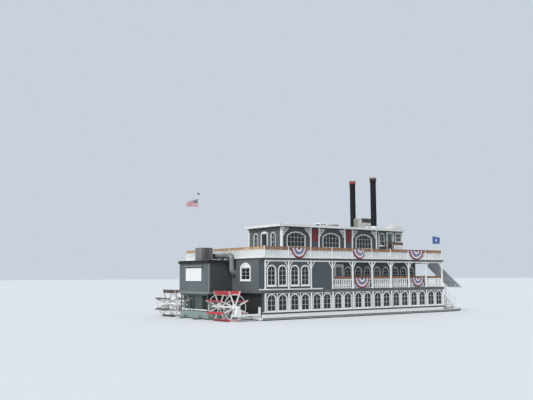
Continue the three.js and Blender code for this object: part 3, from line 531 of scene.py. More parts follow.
def wheel_hub(y):
    """A cast flange with a stepped boss on its outer face."""
    bpy.ops.mesh.primitive_cylinder_add(
        vertices=28, radius=0.30, depth=0.07, location=(HUB.x, y, HUB.z), rotation=ACROSS
    )
    piece = settle(bpy.context.object)
    editing(piece)
    for direction in (-1, 1):
        pick("faces", lambda f: (f.y - y) * direction > 0.034)
        bpy.ops.mesh.inset(thickness=0.045)
        extrude(y=direction * 0.03)
        bpy.ops.mesh.inset(thickness=0.05)
        extrude(y=direction * 0.05)
    done()
    eased(piece, 0.008, 2)
    bpy.ops.object.shade_smooth_by_angle(angle=math.radians(35))
    return piece


def wheel_bolt(y, radius_out):
    return rod((HUB.x, y - 0.06, HUB.z + radius_out), (HUB.x, y + 0.06, HUB.z + radius_out), 0.017, 6)


angles = [(i + 0.5) * 2 * math.pi / ARM_COUNT for i in range(ARM_COUNT)]
ironwork = []
for disc_y in DISC_Y:
    ironwork += repeated(wheel_arm(-disc_y), [round_hub(a) for a in angles])
    ironwork.append(wheel_hub(-disc_y))
    ironwork += repeated(wheel_bolt(-disc_y, 0.25), [round_hub(a + math.pi / 8) for a in angles])
    ironwork.append(hoop((HUB.x, -disc_y, HUB.z), RIM_RADIUS, 0.03, 64, 8, ACROSS))
    bpy.ops.object.shade_smooth()
ironwork.append(rod((HUB.x, -2.06, HUB.z), (HUB.x, -6.58, HUB.z), 0.088, 32, 0.01))
ironwork += repeated(
    rod((HUB.x, -DISC_Y[0], HUB.z + RIM_RADIUS), (HUB.x, -DISC_Y[1], HUB.z + RIM_RADIUS), 0.014, 8),
    [round_hub(a) for a in angles],
)
wheel_white = enamel("wheel_white", (0.76, 0.77, 0.75), amount=0.55, rust=1.0)
WHEEL_BODIES = ("starboard_wheel", "port_wheel")
twins(ironwork, "wheel_ironwork", wheel_white, WHEEL_BODIES, "paddle_wheel")


def plank_finish(name, base, older, worn_share):
    """Painted oak with its grain along Y, worn to bare grey wood in patches."""
    material, place, shader = new_finish(name)
    grain = place.noise(9.0, 5.0, (2.0, 0.25, 2.0))
    worn = place.noise(4.0, 6.0, (1, 0.4, 1)).ramp(0.6, 0.72)
    faded = constant(place, base).blend(place.noise(1.1, 4.0).ramp(0.4, 0.75) * 0.5, older)
    feed(
        shader,
        Base_Color=faded.blend(worn * worn_share, (0.23, 0.19, 0.16)),
        Roughness=grain * 0.3 + 0.3,
        Normal=(grain + worn * -0.4).bump(0.5, 0.008),
    )
    return material


plank_red = plank_finish("plank_red", (0.52, 0.035, 0.05), (0.33, 0.05, 0.05), 0.7)
# The port wheel's planks are a dark brown.
plank_dark_brown = plank_finish("plank_dark_brown", (0.085, 0.055, 0.048), (0.14, 0.10, 0.085), 0.5)
PLANK_END = 0.07
planks = []
for near, far in ((1.10, 1.262), (1.272, 1.438)):
    plank = bar(
        (HUB.x + 0.024, -DISC_Y[1] - PLANK_END, HUB.z + near),
        (HUB.x + 0.068, -DISC_Y[0] + PLANK_END, HUB.z + far),
        0.007,
    )
    planks += repeated(plank, [round_hub(a) for a in angles])
    for disc_y in DISC_Y:
        mid = HUB.z + (near + far) / 2
        bolt = rod((HUB.x + 0.02, -disc_y, mid), (HUB.x + 0.083, -disc_y, mid), 0.02, 6)
        planks += repeated(bolt, [round_hub(a) for a in angles])
_, port_planks = twins(planks, "wheel_planks", plank_red, WHEEL_BODIES)
port_planks.data.materials[0] = plank_dark_brown


# Bearings: cast caps on the outriggers, held by two studs each
bpy.ops.mesh.primitive_cylinder_add(
    vertices=32, radius=0.14, depth=0.2, location=(HUB.x, -BEARING_Y, HUB.z + 0.155), rotation=ACROSS
)
cap = settle(bpy.context.object)
editing(cap)
everything()
bpy.ops.mesh.bisect(plane_co=(0, 0, HUB.z + 0.152), plane_no=(0, 0, 1), clear_inner=True, use_fill=True)
done()
caps = [eased(cap, 0.01, 2)]
for x in (HUB.x - 0.105, HUB.x + 0.105):
    caps.append(rod((x, -BEARING_Y, HUB.z + 0.12), (x, -BEARING_Y, HUB.z + 0.25), 0.02, 6))
cast_iron = enamel("cast_iron", (0.10, 0.105, 0.11), amount=0.3, rust=0.9, gloss=0.5)
twins(caps, "bearing_cap", cast_iron)


# Cabin walls: blue-grey plywood panels with narrow grooves. The wall solids keep their
# shape. Below the sills of the main deck they are white. The main deck's stern end is nearly
# black, painted shade for the recess under the deck above. The end walls are painted
# lighter and the annex sides darker, as painted light and shade.
def panel_paint(name, base, across, pitch, white_below=None):
    material, place, shader = new_finish(name)
    skin = constant(place, base).blend(weathering(place, 0.3), shade(base, 1.5))
    sun_worn = place.noise(0.35, 3.0).ramp(0.4, 0.7) * 0.35
    skin = skin.blend(sun_worn, shade(base, 1.35))
    groove = axis(place, across).joints(pitch, 0.478, 0.492)
    skin = skin.blend(groove * 0.35, shade(base, 0.45))
    if white_below:
        skin = skin.blend(axis(place, "Z") < white_below, WHITE)
    height = place.noise(30.0, 4.0, (1, 1, 0.15)) * 0.15 - groove
    feed(
        shader,
        Base_Color=skin,
        Roughness=place.noise(2.5, 4.0).ramp(0.3, 0.75) * 0.2 + 0.5,
        Normal=height.bump(0.35, 0.01),
    )
    return material


GROOVE_PITCH = 0.305
WHITE_BELOW = 1.33
side_panels = panel_paint("side_panels", GREY, "X", GROOVE_PITCH)
# The end walls get the lighter grey: painted light.
lit_end_panels = panel_paint("lit_end_panels", LIT_END_GREY, "Y", GROOVE_PITCH)
# The annex side walls are a darker grey than the cabin sides: painted shade, for the shaded side of the
# annex.
shaded_annex_panels = panel_paint("shaded_annex_panels", shade(GREY, 0.72), "X", GROOVE_PITCH)
door_grey = enamel("door_grey", GREY)
# The house's stern door is near black: painted shade, the dark of the doorway behind its glass.
door_shaded_dark = enamel("door_shaded_dark", (0.035, 0.040, 0.042), amount=0.2, gloss=0.35)
dress(both("main_deck_wall"), panel_paint("main_panels", GREY, "X", GROOVE_PITCH, WHITE_BELOW))
dress(["main_deck_wall_bow"], panel_paint("bow_panels", GREY, "Y", GROOVE_PITCH, WHITE_BELOW))
# Nearly black: painted shade of the recess under the deck above.
dress(["main_deck_wall_stern"], panel_paint("shaded_stern_panels", shade(GREY, 0.22), "Y", 1.2))
dress(both("saloon_aft_wall", "saloon_wall", "house_wall"), side_panels)
dress(both("annex_wall"), shaded_annex_panels)
dress(["saloon_stern_wall", "saloon_bow_wall", "house_stern_wall", "house_bow_wall"], lit_end_panels)
dress(["annex_wall_stern"], lit_end_panels)
dress(both("foredeck_door"), door_grey)
dress(["house_stern_door"], door_shaded_dark)
dress(both("promenade_door", "cab_door"), trim_white)


# Windows: an arched wooden casing on the wall, a sash in the opening, glazing bars, and one
# pane, near black as painted shade for the dark rooms behind. Each size is made once, facing
# starboard on a wall at y = 0, then copied.
ARC_POINTS = 56
SIDE_WALL_Y = 6.75


def arch_radius(width, rise):
    """The radius of the arc over an opening."""
    return (width * width / 4 + rise * rise) / (2 * rise)


def arched_sheet(width, sill, top, rise):
    """A flat upright face in the shape of the opening."""
    radius = arch_radius(width, rise)
    spring = top - rise
    bpy.ops.mesh.primitive_circle_add(
        vertices=ARC_POINTS,
        radius=radius,
        fill_type="NGON",
        location=(0, 0, top - radius),
        rotation=ACROSS,
    )
    sheet = settle(bpy.context.object)
    editing(sheet)
    everything()
    bpy.ops.mesh.bisect(plane_co=(0, 0, spring), plane_no=(0, 0, 1), clear_inner=True)
    pick("verts", lambda v: v.z < spring + 0.001)
    extrude(z=sill - spring)
    everything()
    bpy.ops.mesh.dissolve_faces()
    done()
    return sheet


def arched_slab(width, sill, top, rise, y0, y1):
    """A solid board in the shape of the opening, from y0 to y1."""
    slab = arched_sheet(width, sill, top, rise)
    editing(slab)
    everything()
    extrude(y=y1 - y0)
    face_out()
    bpy.ops.transform.translate(value=(0, y0, 0))
    done()
    return slab


def arched_ring(width, sill, top, rise, wide, y0, y1):
    """A frame of the given width, standing outside the opening, from y0 to y1."""
    radius = arch_radius(width, rise) + wide
    outer_half = width / 2 + wide
    outer_rise = radius - math.sqrt(max(0.0, radius * radius - outer_half * outer_half))
    ring = arched_sheet(width + 2 * wide, sill - wide, top + wide, outer_rise)
    editing(ring)
    everything()
    bpy.ops.mesh.inset(thickness=wide)
    bpy.ops.mesh.delete(type="FACE")
    everything()
    extrude(y=y1 - y0)
    face_out()
    bpy.ops.transform.translate(value=(0, y0, 0))
    done()
    finish_with(ring, "BEVEL", width=0.007, segments=1, limit_method="ANGLE", angle_limit=math.radians(50))
    return ring


def chord(width, top, rise, height):
    """Half the opening's width at a height."""
    if height <= top - rise:
        return width / 2
    radius = arch_radius(width, rise)
    above = height - (top - radius)
    return math.sqrt(max(0.0, radius * radius - above * above))


def window(width, sill, top, rise, columns, rows, casing, solid_head=False, shelf=0.045):
    """The joinery and the pane of one window, as two pieces at x = 0."""
    sash = 0.03
    joinery = [arched_ring(width, sill, top, rise, casing, -0.035, 0.0)]
    light, low, high = width - 2 * sash, sill + sash, top - sash
    light_rise = min(rise, light / 2)
    joinery.append(arched_ring(light, low, high, light_rise, sash, 0.012, 0.062))
    bar_half = 0.009
    for column in range(1, columns):
        x = -light / 2 + light * column / columns
        reach = high
        while chord(light, high, light_rise, reach) < abs(x) and reach > sill:
            reach -= 0.01
        joinery.append(bar((x - bar_half, 0.02, low - 0.01), (x + bar_half, 0.05, reach + 0.01), 0))
    for row in range(1, rows):
        z = low + (high - low) * row / rows
        half = chord(light, high, light_rise, z) + 0.01
        joinery.append(bar((-half, 0.018, z - bar_half), (half, 0.048, z + bar_half), 0))
    out, foot = width / 2 + casing + 0.03, sill - casing
    joinery.append(bar((-out, -0.075, foot - shelf), (out, 0.0, foot + 0.02), 0.008))
    if solid_head:
        joinery.append(arched_slab(width - 0.01, top - rise, top - 0.005, rise, 0, 0.03))
    pane = arched_slab(width - 0.004, sill + 0.002, top - 0.002, rise - 0.002, 0.036, 0.044)
    return together(joinery, "window_joinery", body=None), pane


def facing(turn_degrees, x, y):
    """The way a window faces: 0 starboard, -90 astern, 90 ahead, 180 port."""
    return Matrix.Translation((x, y, 0)) @ Matrix.Rotation(math.radians(turn_degrees), 4, "Z")


# The glass is near black and almost opaque: painted shade, the dark of the rooms behind it.
glass, place, shader = new_finish("window_glass")
film = place.noise(1.3, 4.0).ramp(0.45, 0.8) * 0.06
feed(
    shader,
    Base_Color=constant(place, (0.010, 0.013, 0.015)).blend(film, (0.3, 0.3, 0.28)),
    Roughness=film * 2.0 + 0.04,
    Alpha=0.86,
)

BAY = 2.5
FIRST_POST = -12.6
BAYS = 9
WINDOW_OFFSET = 0.59


def post_x(i):
    return FIRST_POST + i * BAY


def pairs(first, last):
    """The two window centres of each bay."""
    return [post_x(i) + BAY / 2 + s * WINDOW_OFFSET for i in range(first, last + 1) for s in (-1, 1)]


def install(kind, name, places, pane_finish=None):
    """Copies a window's joinery and pane to each place."""
    joinery, pane = kind
    panes = [copied(pane, m) for m in places]
    together(panes, name + "_panes", pane_finish or glass, slot="window_glass")
    wood = [copied(joinery, m) for m in places]
    together(wood, name + "_joinery", trim_white, slot="white_paint")


def discard(kind):
    for piece in kind:
        bpy.data.objects.remove(piece)


main_window = window(0.85, 1.6, 2.95, 0.425, 2, 3, 0.085)
saloon_window = window(0.80, 3.77, 5.40, 0.40, 2, 4, 0.095)
promenade_window = window(0.76, 3.90, 5.33, 0.38, 2, 4, 0.07)
stern_window = window(1.30, 4.25, 5.54, 0.28, 2, 4, 0.15, solid_head=True, shelf=0.0)
great_window = window(2.10, 7.29, 8.66, 0.36, 5, 3, 0.085)
narrow_window = window(0.62, 7.65, 8.92, 0.31, 2, 3, 0.06)
house_stern_window = window(0.64, 7.29, 8.64, 0.32, 2, 3, 0.07)

PROMENADE_WINDOW_X = (-2.02, -0.69, 0.49, 1.81, 2.99, 4.31, 5.49, 6.60)
GREAT_WINDOW_X = (-6.03, -1.63, 2.77)
SALOON_Y = 5.45
HOUSE_Y = 2.68
SIDE_WINDOWS = (
    (main_window, "main_window", pairs(0, BAYS - 1), SIDE_WALL_Y),
    (saloon_window, "saloon_window", pairs(0, 1), SIDE_WALL_Y),
    (promenade_window, "promenade_window", PROMENADE_WINDOW_X, SALOON_Y),
    (great_window, "great_window", GREAT_WINDOW_X, HOUSE_Y),
    (narrow_window, "narrow_window", (5.38,), HOUSE_Y),
)
END_WINDOWS = (
    (stern_window, "saloon_stern_window", -90, -13.22, (-4.71, 4.71)),
    (house_stern_window, "house_stern_window", -90, -7.82, (-1.43, 1.43)),
    (main_window, "main_bow_window", 90, 9.95, (-5.4, -3.9, -2.2, 2.2, 3.9, 5.4)),
    (promenade_window, "saloon_bow_window", 90, 7.3, (-3.6, -2.0, 2.0, 3.6)),
)
for side, turn, s in (("starboard", 0, -1), ("port", 180, 1)):
    for kind, name, places, wall in SIDE_WINDOWS:
        install(kind, f"{name}_{side}", [facing(turn, x, s * wall) for x in places])
for kind, name, turn, x, places in END_WINDOWS:
    install(kind, name, [facing(turn, x, y) for y in places])
for kind in (main_window, saloon_window, promenade_window, great_window, narrow_window):
    discard(kind)
for kind in (stern_window, house_stern_window):
    discard(kind)


# Main deck trim: white posts at each bay, thinner stiles between the windows, a rail over
# the arches and a sill course, all nailed to the wall
MAIN_TRIM_Z = (1.49, 3.095)
trim = []
for i in range(BAYS + 1):
    x = post_x(i) - (0.03 if i == BAYS else 0)
    trim.append(bar((x - 0.075, -6.82, MAIN_TRIM_Z[0]), (x + 0.075, -6.745, MAIN_TRIM_Z[1]), 0.012))
    trim.append(bar((x - 0.095, -6.828, MAIN_TRIM_Z[0]), (x + 0.095, -6.745, MAIN_TRIM_Z[0] + 0.14), 0.012))
for i in range(BAYS):
    middle = post_x(i) + BAY / 2
    trim.append(bar((middle - 0.04, -6.795, 1.52), (middle + 0.04, -6.745, 3.06), 0.008))
trim.append(bar((-12.7, -6.79, 3.035), (9.95, -6.745, MAIN_TRIM_Z[1]), 0.008))
trim.append(bar((-12.9, -6.815, 1.47), (9.95, -6.745, 1.525), 0.01))
twins(trim, "main_trim", trim_white)

bow_trim = [bar((9.945, -6.66, 3.035), (9.99, 6.66, MAIN_TRIM_Z[1]), 0.008)]
for y in (-6.6, -4.65, -3.05, -1.0, 1.0, 3.05, 4.65, 6.6):
    bow_trim.append(bar((9.945, y - 0.06, 1.06), (10.0, y + 0.06, MAIN_TRIM_Z[1]), 0.012))
together(bow_trim, "bow_trim", trim_white, slot="white_paint")


# Decks: steel decks with a rolled non-slip paint and dark edges. The third deck's edge and a
# strip round it are near black: painted shadow along the deck's edge. A white ledge runs along
# the aft part of the second.
def deck_paint(name, tread, edge):
    material, place, shader = new_finish(name)
    flat = axis(place.node("NewGeometry", output="Normal"), "Z").absolute() > 0.5
    trodden = place.noise(0.7, 5.0).ramp(0.4, 0.7)
    skin = constant(place, edge).blend(weathering(place, 0.4), SOIL)
    walked = constant(place, tread).blend(trodden * 0.5, shade(tread, 1.5))
    skin = skin.blend(flat, walked)
    grit = place.noise(120.0, 2.0)
    feed(shader, Base_Color=skin, Roughness=trodden * 0.15 + 0.6, Normal=grit.bump(0.25, 0.004))
    return material


BAND_GREY = (0.075, 0.09, 0.105)
dress(["second_deck"], deck_paint("second_deck_paint", (0.16, 0.17, 0.18), BAND_GREY))
# The third deck's upright edges are near black: painted shadow along the deck's edge.
dress(["third_deck"], deck_paint("third_deck_paint", (0.36, 0.37, 0.37), (0.05, 0.056, 0.06)))
dress(["annex_floor"], deck_paint("annex_floor_paint", (0.15, 0.16, 0.17), (0.22, 0.25, 0.26)))
# A near-black paint for painted shade and shadow: the shadows along the deck edge and under the eaves, and
# the dark inside of the skylight.
shade_black = enamel("shade_black", (0.035, 0.04, 0.045), amount=0.3, gloss=0.6)
# Near-black strips along the sides and ends of the third deck's edge: painted shadow.
edge_shadow_strip = [bar((-13.235, -6.85, 5.97), (10.025, -6.82, 6.065), 0.006)]
twins(edge_shadow_strip, "deck_edge_shadow", shade_black)
end_shadow_strip = [bar((x, -6.84, 5.97), (x + 0.03, 6.84, 6.065), 0.006) for x in (-13.24, 10.0)]
together(end_shadow_strip, "deck_end_shadow", shade_black, slot="dark_metal")
ledge_paint = enamel("ledge_paint", (0.70, 0.71, 0.70), amount=0.5, rust=0.5)
ledge = [bar((-13.24, -6.89, 3.35), (-6.35, -6.74, 3.46), 0.01)]
twins(ledge, "aft_ledge", ledge_paint)
dress(["drive_engine"], cast_iron)


# Promenade arcade: square posts under a light beam, with a straight sawn brace on each
# side of every post. Aft, the same posts are planted on the saloon wall. They replace the
# plain arcade solids.
POST_FOOT, BEAM_LOW, BEAM_HIGH, POST_HEAD = 3.352, 5.78, 5.905, 5.918
BRACE_FOOT, BRACE_REACH = 5.22, 0.42


def curved_bar(centre, radius, start_degrees, sweep_degrees, depth_y, thick, steps=8):
    """A bar of square section bent round a level axis. Angles run from +X up to +Z."""
    start = math.radians(start_degrees)
    at = Vector((centre[0] + radius * math.cos(start), centre[1], centre[2] + radius * math.sin(start)))
    bpy.ops.mesh.primitive_plane_add(size=1)
    piece = bpy.context.object
    section = Matrix.Diagonal((thick, depth_y, 1, 1))
    piece.data.transform(Matrix.Translation(at) @ Matrix.Rotation(-start, 4, "Y") @ section)
    editing(piece)
    everything()
    bpy.ops.mesh.spin(
        steps=steps, angle=math.radians(sweep_degrees), center=centre, axis=(0, 1, 0)
    )
    face_out()
    done()
    return piece


def arcade_post(x):
    return [
        bar((x - 0.068, -6.80, POST_FOOT), (x + 0.068, -6.67, POST_HEAD), 0.012),
        bar((x - 0.08, -6.815, POST_FOOT), (x + 0.08, -6.655, 3.56), 0.012),
        bar((x - 0.075, -6.81, 4.47), (x + 0.075, -6.66, 4.53), 0.012),
        bar((x - 0.072, -6.807, 5.15), (x + 0.072, -6.663, 5.20), 0.01),
    ]


def slanting(start, end, wide, deep):
    """A straight piece of rectangular section in the plane of X and Z."""
    run = Vector(end) - Vector(start)
    piece = bar((-wide / 2, -deep / 2, 0), (wide / 2, deep / 2, run.length), 0.008)
    turn = Matrix.Rotation(math.atan2(run.x, run.z), 4, "Y")
    piece.data.transform(Matrix.Translation(start) @ turn)
    return piece


def arcade_bracket(x):
    """The forward brace of a post, straight up to the beam, with a block at each end."""
    end = x + BRACE_REACH
    return [
        slanting((x + 0.03, -6.735, BRACE_FOOT), (end, -6.735, BEAM_LOW + 0.03), 0.085, 0.07),
        bar((x + 0.05, -6.775, BRACE_FOOT - 0.02), (x + 0.10, -6.695, BRACE_FOOT + 0.07), 0.006),
        bar((end - 0.08, -6.775, BEAM_LOW - 0.05), (end + 0.05, -6.695, BEAM_LOW + 0.01), 0.006),
    ]


arcade = []
for i in range(BAYS + 1):
    x = post_x(i) - (0.055 if i == BAYS else 0)
    arcade += arcade_post(x)
    if i < BAYS:
        arcade += arcade_bracket(x)
    if i > 0:
        for piece in arcade_bracket(x):
            arcade += repeated(piece, [shift(x) @ END_FOR_END @ shift(-x)])
arcade.append(bar((-12.66, -6.775, BEAM_LOW), (9.9, -6.70, BEAM_HIGH), 0.01))
twins(arcade, "arcade", trim_white, stands_for="promenade_arcade")

bow_beam = [bar((9.83, -6.68, BEAM_LOW), (9.9, 6.68, BEAM_HIGH), 0.01)]
for s in (-1, 1):
    bracket = slanting((0.03, 0, BRACE_FOOT), (BRACE_REACH, 0, BEAM_LOW + 0.03), 0.085, 0.07)
    bracket.data.transform(facing(-90 * s, 9.865, s * 6.68))
    bow_beam.append(bracket)
bow_beam = together(bow_beam, "bow_beam", trim_white, slot="white_paint")
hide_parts("promenade_arcade_bow")


# Promenade balustrade: sawn board balusters between two rails, under a varnished board
# and cap. It replaces the plain railing solids.
BALUSTER_PITCH = 0.2656
# The height and the width at each turn of the board's outline
BALUSTER_WIDTHS = (
    *((3.44, 0.19), (3.52, 0.12), (3.60, 0.215), (3.70, 0.20)),
    *((3.80, 0.13), (3.95, 0.12), (4.10, 0.125), (4.19, 0.19)),
)


def baluster():
    """One board baluster at x = 0 with its outer face at y = 0."""
    piece = bar((-0.11, 0.0, 3.44), (0.11, 0.03, 4.19), 0)
    editing(piece)
    for height, _ in BALUSTER_WIDTHS[1:-1]:
        everything()
        bpy.ops.mesh.bisect(plane_co=(0, 0, height), plane_no=(0, 0, 1))
    for height, width in BALUSTER_WIDTHS:
        pick("verts", lambda v: abs(v.z - height) < 0.01)
        bpy.ops.transform.resize(value=(width / 0.22, 1, 1))
    done()
    return piece


def balustrade(length, posts):
    """White and wooden parts of a run along X, outer face at y = 0, clear of the posts."""
    white = [
        bar((0, -0.005, 3.375), (length, 0.045, 3.445), 0.008),
        bar((0, -0.005, 4.18), (length, 0.045, 4.235), 0.008),
    ]
    count = max(2, round(length / BALUSTER_PITCH))
    pitch = length / count
    places = [pitch * (k + 0.5) for k in range(count)]
    clear = [u for u in places if all(abs(u - p) > 0.13 for p in posts)]
    white += repeated(baluster(), [shift(u, 0.005) for u in clear])
    wood = [
        bar((0, 0.0, 4.25), (length, 0.03, 4.415), 0.006),
        bar((0, -0.03, 4.415), (length, 0.07, 4.455), 0.012),
    ]
    return together(white, "white_part", body=None), together(wood, "wood_part", body=None)


def timber(name, base, dark, along, gloss=0.4):
    """Wood with its grain along one axis."""
    material, place, shader = new_finish(name)
    stretch = {"X": (0.35, 9.0, 9.0), "Y": (9.0, 0.35, 9.0), "Z": (9.0, 9.0, 0.35)}[along]
    grain = place.noise(3.2, 7.0, stretch, 0.65)
    bleached = place.noise(0.8, 4.0).ramp(0.4, 0.7)
    skin = constant(place, base).blend(grain.ramp(0.35, 0.7), dark)
    skin = skin.blend(bleached * 0.45, tuple(min(1.0, c * 1.35 + 0.02) for c in base))
    joint = axis(place, "X" if along != "Y" else "Y").joints(2.44, 0.4965, 0.499)
    skin = skin.blend(joint * 0.8, shade(dark, 0.3))
    feed(
        shader,
        Base_Color=skin,
        Roughness=grain * 0.3 + gloss,
        Normal=(grain - joint).bump(0.4, 0.006),
    )
    return material


rail_wood = timber("rail_wood", (0.30, 0.145, 0.075), (0.16, 0.07, 0.04), "X")
rail_wood_cross = timber("rail_wood_cross", (0.30, 0.145, 0.075), (0.16, 0.07, 0.04), "Y")
RUN_START = -5.1
RUN_END = 9.85
white_part, wood_part = balustrade(RUN_END - RUN_START, [post_x(i) - RUN_START for i in range(3, BAYS + 1)])
for part in (white_part, wood_part):
    part.data.transform(facing(0, RUN_START, -6.65))
twins([white_part], "balustrade", trim_white, stands_for="promenade_railing")
twins([wood_part], "rail_cap", rail_wood)
STAIR_GATE, STAIR_Y = (4.40, 5.90), 5.15
white, wood = [], []
for start, end in ((-6.5, -STAIR_GATE[1]), (-STAIR_GATE[0], STAIR_GATE[0]), (STAIR_GATE[1], 6.5)):
    for kept, part in zip((white, wood), balustrade(end - start, [])):
        part.data.transform(facing(90, RUN_END, start))
        kept.append(part)
for s in (-1, 1):
    for edge in STAIR_GATE:
        white.append(bar((9.785, s * edge - 0.045, 3.352), (9.865, s * edge + 0.045, 4.52), 0.01))
        white.append(bar((9.775, s * edge - 0.055, 4.50), (9.875, s * edge + 0.055, 4.545), 0.01))
    white.append(bar((9.80, s * STAIR_Y - 0.72, 3.352), (9.85, s * STAIR_Y + 0.72, 3.368), 0.003))
white = together(white, "balustrade_bow", trim_white, slot="white_paint")
together(wood, "rail_cap_bow", rail_wood_cross, slot="varnished_wood")
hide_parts("promenade_railing_bow")


# Third-deck railing: square posts with a cap, a tan board between their heads, and
# white screen cloth in frames below it. It replaces the plain panels.
def upper_run(length, posts, board_low, post_top):
    """White frame, screens and boards of a run along X, outer face at y = 0."""
    frame_parts = [
        bar((0, 0.0, 6.085), (length, 0.05, 6.27), 0.006),
        bar((0, -0.012, 6.27), (length, 0.06, 6.30), 0.008),
        bar((0, 0.012, board_low - 0.05), (length, 0.05, board_low - 0.008), 0.006),
    ]
    for u in posts:
        frame_parts.append(bar((u - 0.045, -0.012, 6.075), (u + 0.045, 0.078, post_top - 0.015), 0.01))
        frame_parts.append(bar((u - 0.06, -0.027, post_top - 0.03), (u + 0.06, 0.093, post_top), 0.01))
    count = round(length / 0.42)
    stick = bar((-0.012, 0.006, 6.29), (0.012, 0.03, board_low - 0.03), 0)
    frame_parts += repeated(stick, [shift(length * (k + 0.5) / count) for k in range(count)])
    screens = [bar((0.01, 0.034, 6.28), (length - 0.01, 0.04, board_low - 0.01), 0)]
    middle = (board_low + 7.045) / 2
    boards = [
        bar((0, -0.002, board_low), (length, 0.03, middle - 0.006), 0.005),
        bar((0, -0.002, middle + 0.006), (length, 0.03, 7.045), 0.005),
        bar((0, -0.02, 7.045), (length, 0.075, 7.075), 0.01),
    ]
    return [together(parts, "part", body=None) for parts in (frame_parts, screens, boards)]


screen_cloth, place, shader = new_finish("screen_cloth")
weave = place.math("SINE", axis(place, "Z") * 400.0)
blotches = place.noise(1.6, 5.0).ramp(0.4, 0.75)
feed(
    shader,
    Base_Color=constant(place, (0.66, 0.69, 0.69))
    .blend(blotches * 0.5, (0.47, 0.50, 0.49))
    .blend(weathering(place, 0.4), (0.36, 0.34, 0.32)),
    Roughness=blotches * 0.2 + 0.65,
    Normal=(place.noise(5.0, 3.0) + weave * 0.1).bump(0.3, 0.01),
)
# The two tans are one wood in lit and shaded copies: the boards across the ends are lighter as painted
# light, as on a sunlit face, and the side boards darker as painted shade.
tan_board = timber("tan_board", (0.31, 0.165, 0.09), (0.19, 0.095, 0.055), "X", 0.55)
tan_board_cross_lit = timber("tan_board_cross_lit", (0.50, 0.30, 0.135), (0.30, 0.17, 0.08), "Y", 0.5)
UPPER_AFT, UPPER_FORE = -12.70, 9.90
side_posts = [0.045] + [post_x(i) - UPPER_AFT for i in range(1, BAYS)] + [UPPER_FORE - UPPER_AFT - 0.045]
RAIL_PARTS = (
    ("upper_rail_frame", "white_paint", trim_white, trim_white, "upper_railing"),
    ("upper_rail_screen", "white_paint", screen_cloth, screen_cloth, None),
    ("upper_rail_board", "varnished_wood", tan_board, tan_board_cross_lit, None),
)
side_run = upper_run(UPPER_FORE - UPPER_AFT, side_posts, 6.78, 7.12)
for part, (name, slot, finish, _, node) in zip(side_run, RAIL_PARTS):
    part.data.transform(facing(0, UPPER_AFT, -6.75))
    twins([part], name, finish, stands_for=node)
CROSS_HALF = 6.66
cross_posts = [CROSS_HALF + k * 2.7 for k in (-1.5, -0.5, 0.5, 1.5)]
for end, turn, x, y in (("stern", -90, UPPER_AFT, CROSS_HALF), ("bow", 90, UPPER_FORE, -CROSS_HALF)):
    cross_run = upper_run(2 * CROSS_HALF, cross_posts, 6.84, 7.23)
    for part, (name, slot, _, finish, node) in zip(cross_run, RAIL_PARTS):
        part.data.transform(facing(turn, x, y))
        together([part], f"{name}_{end}", finish, slot=slot)
        if node:
            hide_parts(f"{node}_{end}")


# House trim: white corner boards and posts, boards between them in dark red over
# blue-grey, and a sawn scroll bracket in each upper corner beside the great windows
HOUSE_FOOT, HOUSE_HEAD, EAVE_SHADOW_LOW = 6.075, 9.175, 9.075
HOUSE_POSTS = (-7.73, -4.28, -3.25, 0.13, 1.14, 4.53)


def house_post(x):
    return [
        bar((x - 0.06, -2.79, HOUSE_FOOT), (x + 0.06, -2.675, HOUSE_HEAD), 0.01),
        bar((x - 0.085, -2.815, HOUSE_FOOT), (x + 0.085, -2.675, HOUSE_FOOT + 0.22), 0.012),
        bar((x - 0.08, -2.81, HOUSE_HEAD - 0.12), (x + 0.08, -2.675, HOUSE_HEAD), 0.012),
    ]


def ring(x, z, radius, wide):
    """A flat sawn ring in the bracket's plane."""
    return curved_bar((x, -2.735, z), radius, 0, 360, 0.05, wide, 14)


def scroll_bracket():
    """The bracket forward of a post at x = 0: two legs, and scrolls along the slope."""
    scrolls = [(0.155, 8.44), (0.235, 8.57), (0.335, 8.69), (0.455, 8.80), (0.585, 8.90)]
    inner = [(0.20, 8.75, 0.075), (0.215, 8.93, 0.085), (0.375, 8.955, 0.07)]
    return (
        [
            bar((0.05, -2.765, 9.025), (0.74, -2.705, 9.075), 0.006),
            bar((0.055, -2.765, 8.34), (0.115, -2.705, 9.03), 0.006),
            bar((0.66, -2.77, 8.94), (0.73, -2.70, 9.03), 0.012),
            bar((0.105, -2.77, 8.30), (0.17, -2.70, 8.38), 0.012),
        ]
        + [ring(x, z, 0.052, 0.05) for x, z in scrolls]
        + [ring(x, z, radius - 0.02, 0.04) for x, z, radius in inner]
    )


house_trim = [part for x in HOUSE_POSTS for part in house_post(x)]
for k in range(0, len(HOUSE_POSTS), 2):
    for part in scroll_bracket():
        first, second = HOUSE_POSTS[k], HOUSE_POSTS[k + 1]
        house_trim += repeated(part, [shift(first), shift(second) @ END_FOR_END])
house_trim += [
    bar((-7.86, -2.72, HOUSE_FOOT), (-7.79, -2.60, HOUSE_HEAD), 0.008),
    bar((4.85, -2.705, HOUSE_FOOT), (4.93, -2.675, HOUSE_HEAD), 0.006),
    bar((8.38, -2.72, HOUSE_FOOT), (8.47, -2.60, HOUSE_HEAD), 0.008),
]
twins(house_trim, "house_trim", trim_white)

# A near-black band along the top of each side wall, under the eaves: painted shadow of the roof's overhang.
eave_shadow = [bar((-7.85, -2.735, EAVE_SHADOW_LOW), (8.46, -2.675, HOUSE_HEAD), 0.005)]
twins(eave_shadow, "eave_shadow_band", shade_black)


def framed_board(x0, x1, z0, z1):
    """A board with a sunk field."""
    board = bar((x0, -2.715, z0), (x1, -2.675, z1), 0)
    return eased(bordered_field(board, lambda c: c.y < -2.71, 0.09, 0.02, -0.018), 0.005)


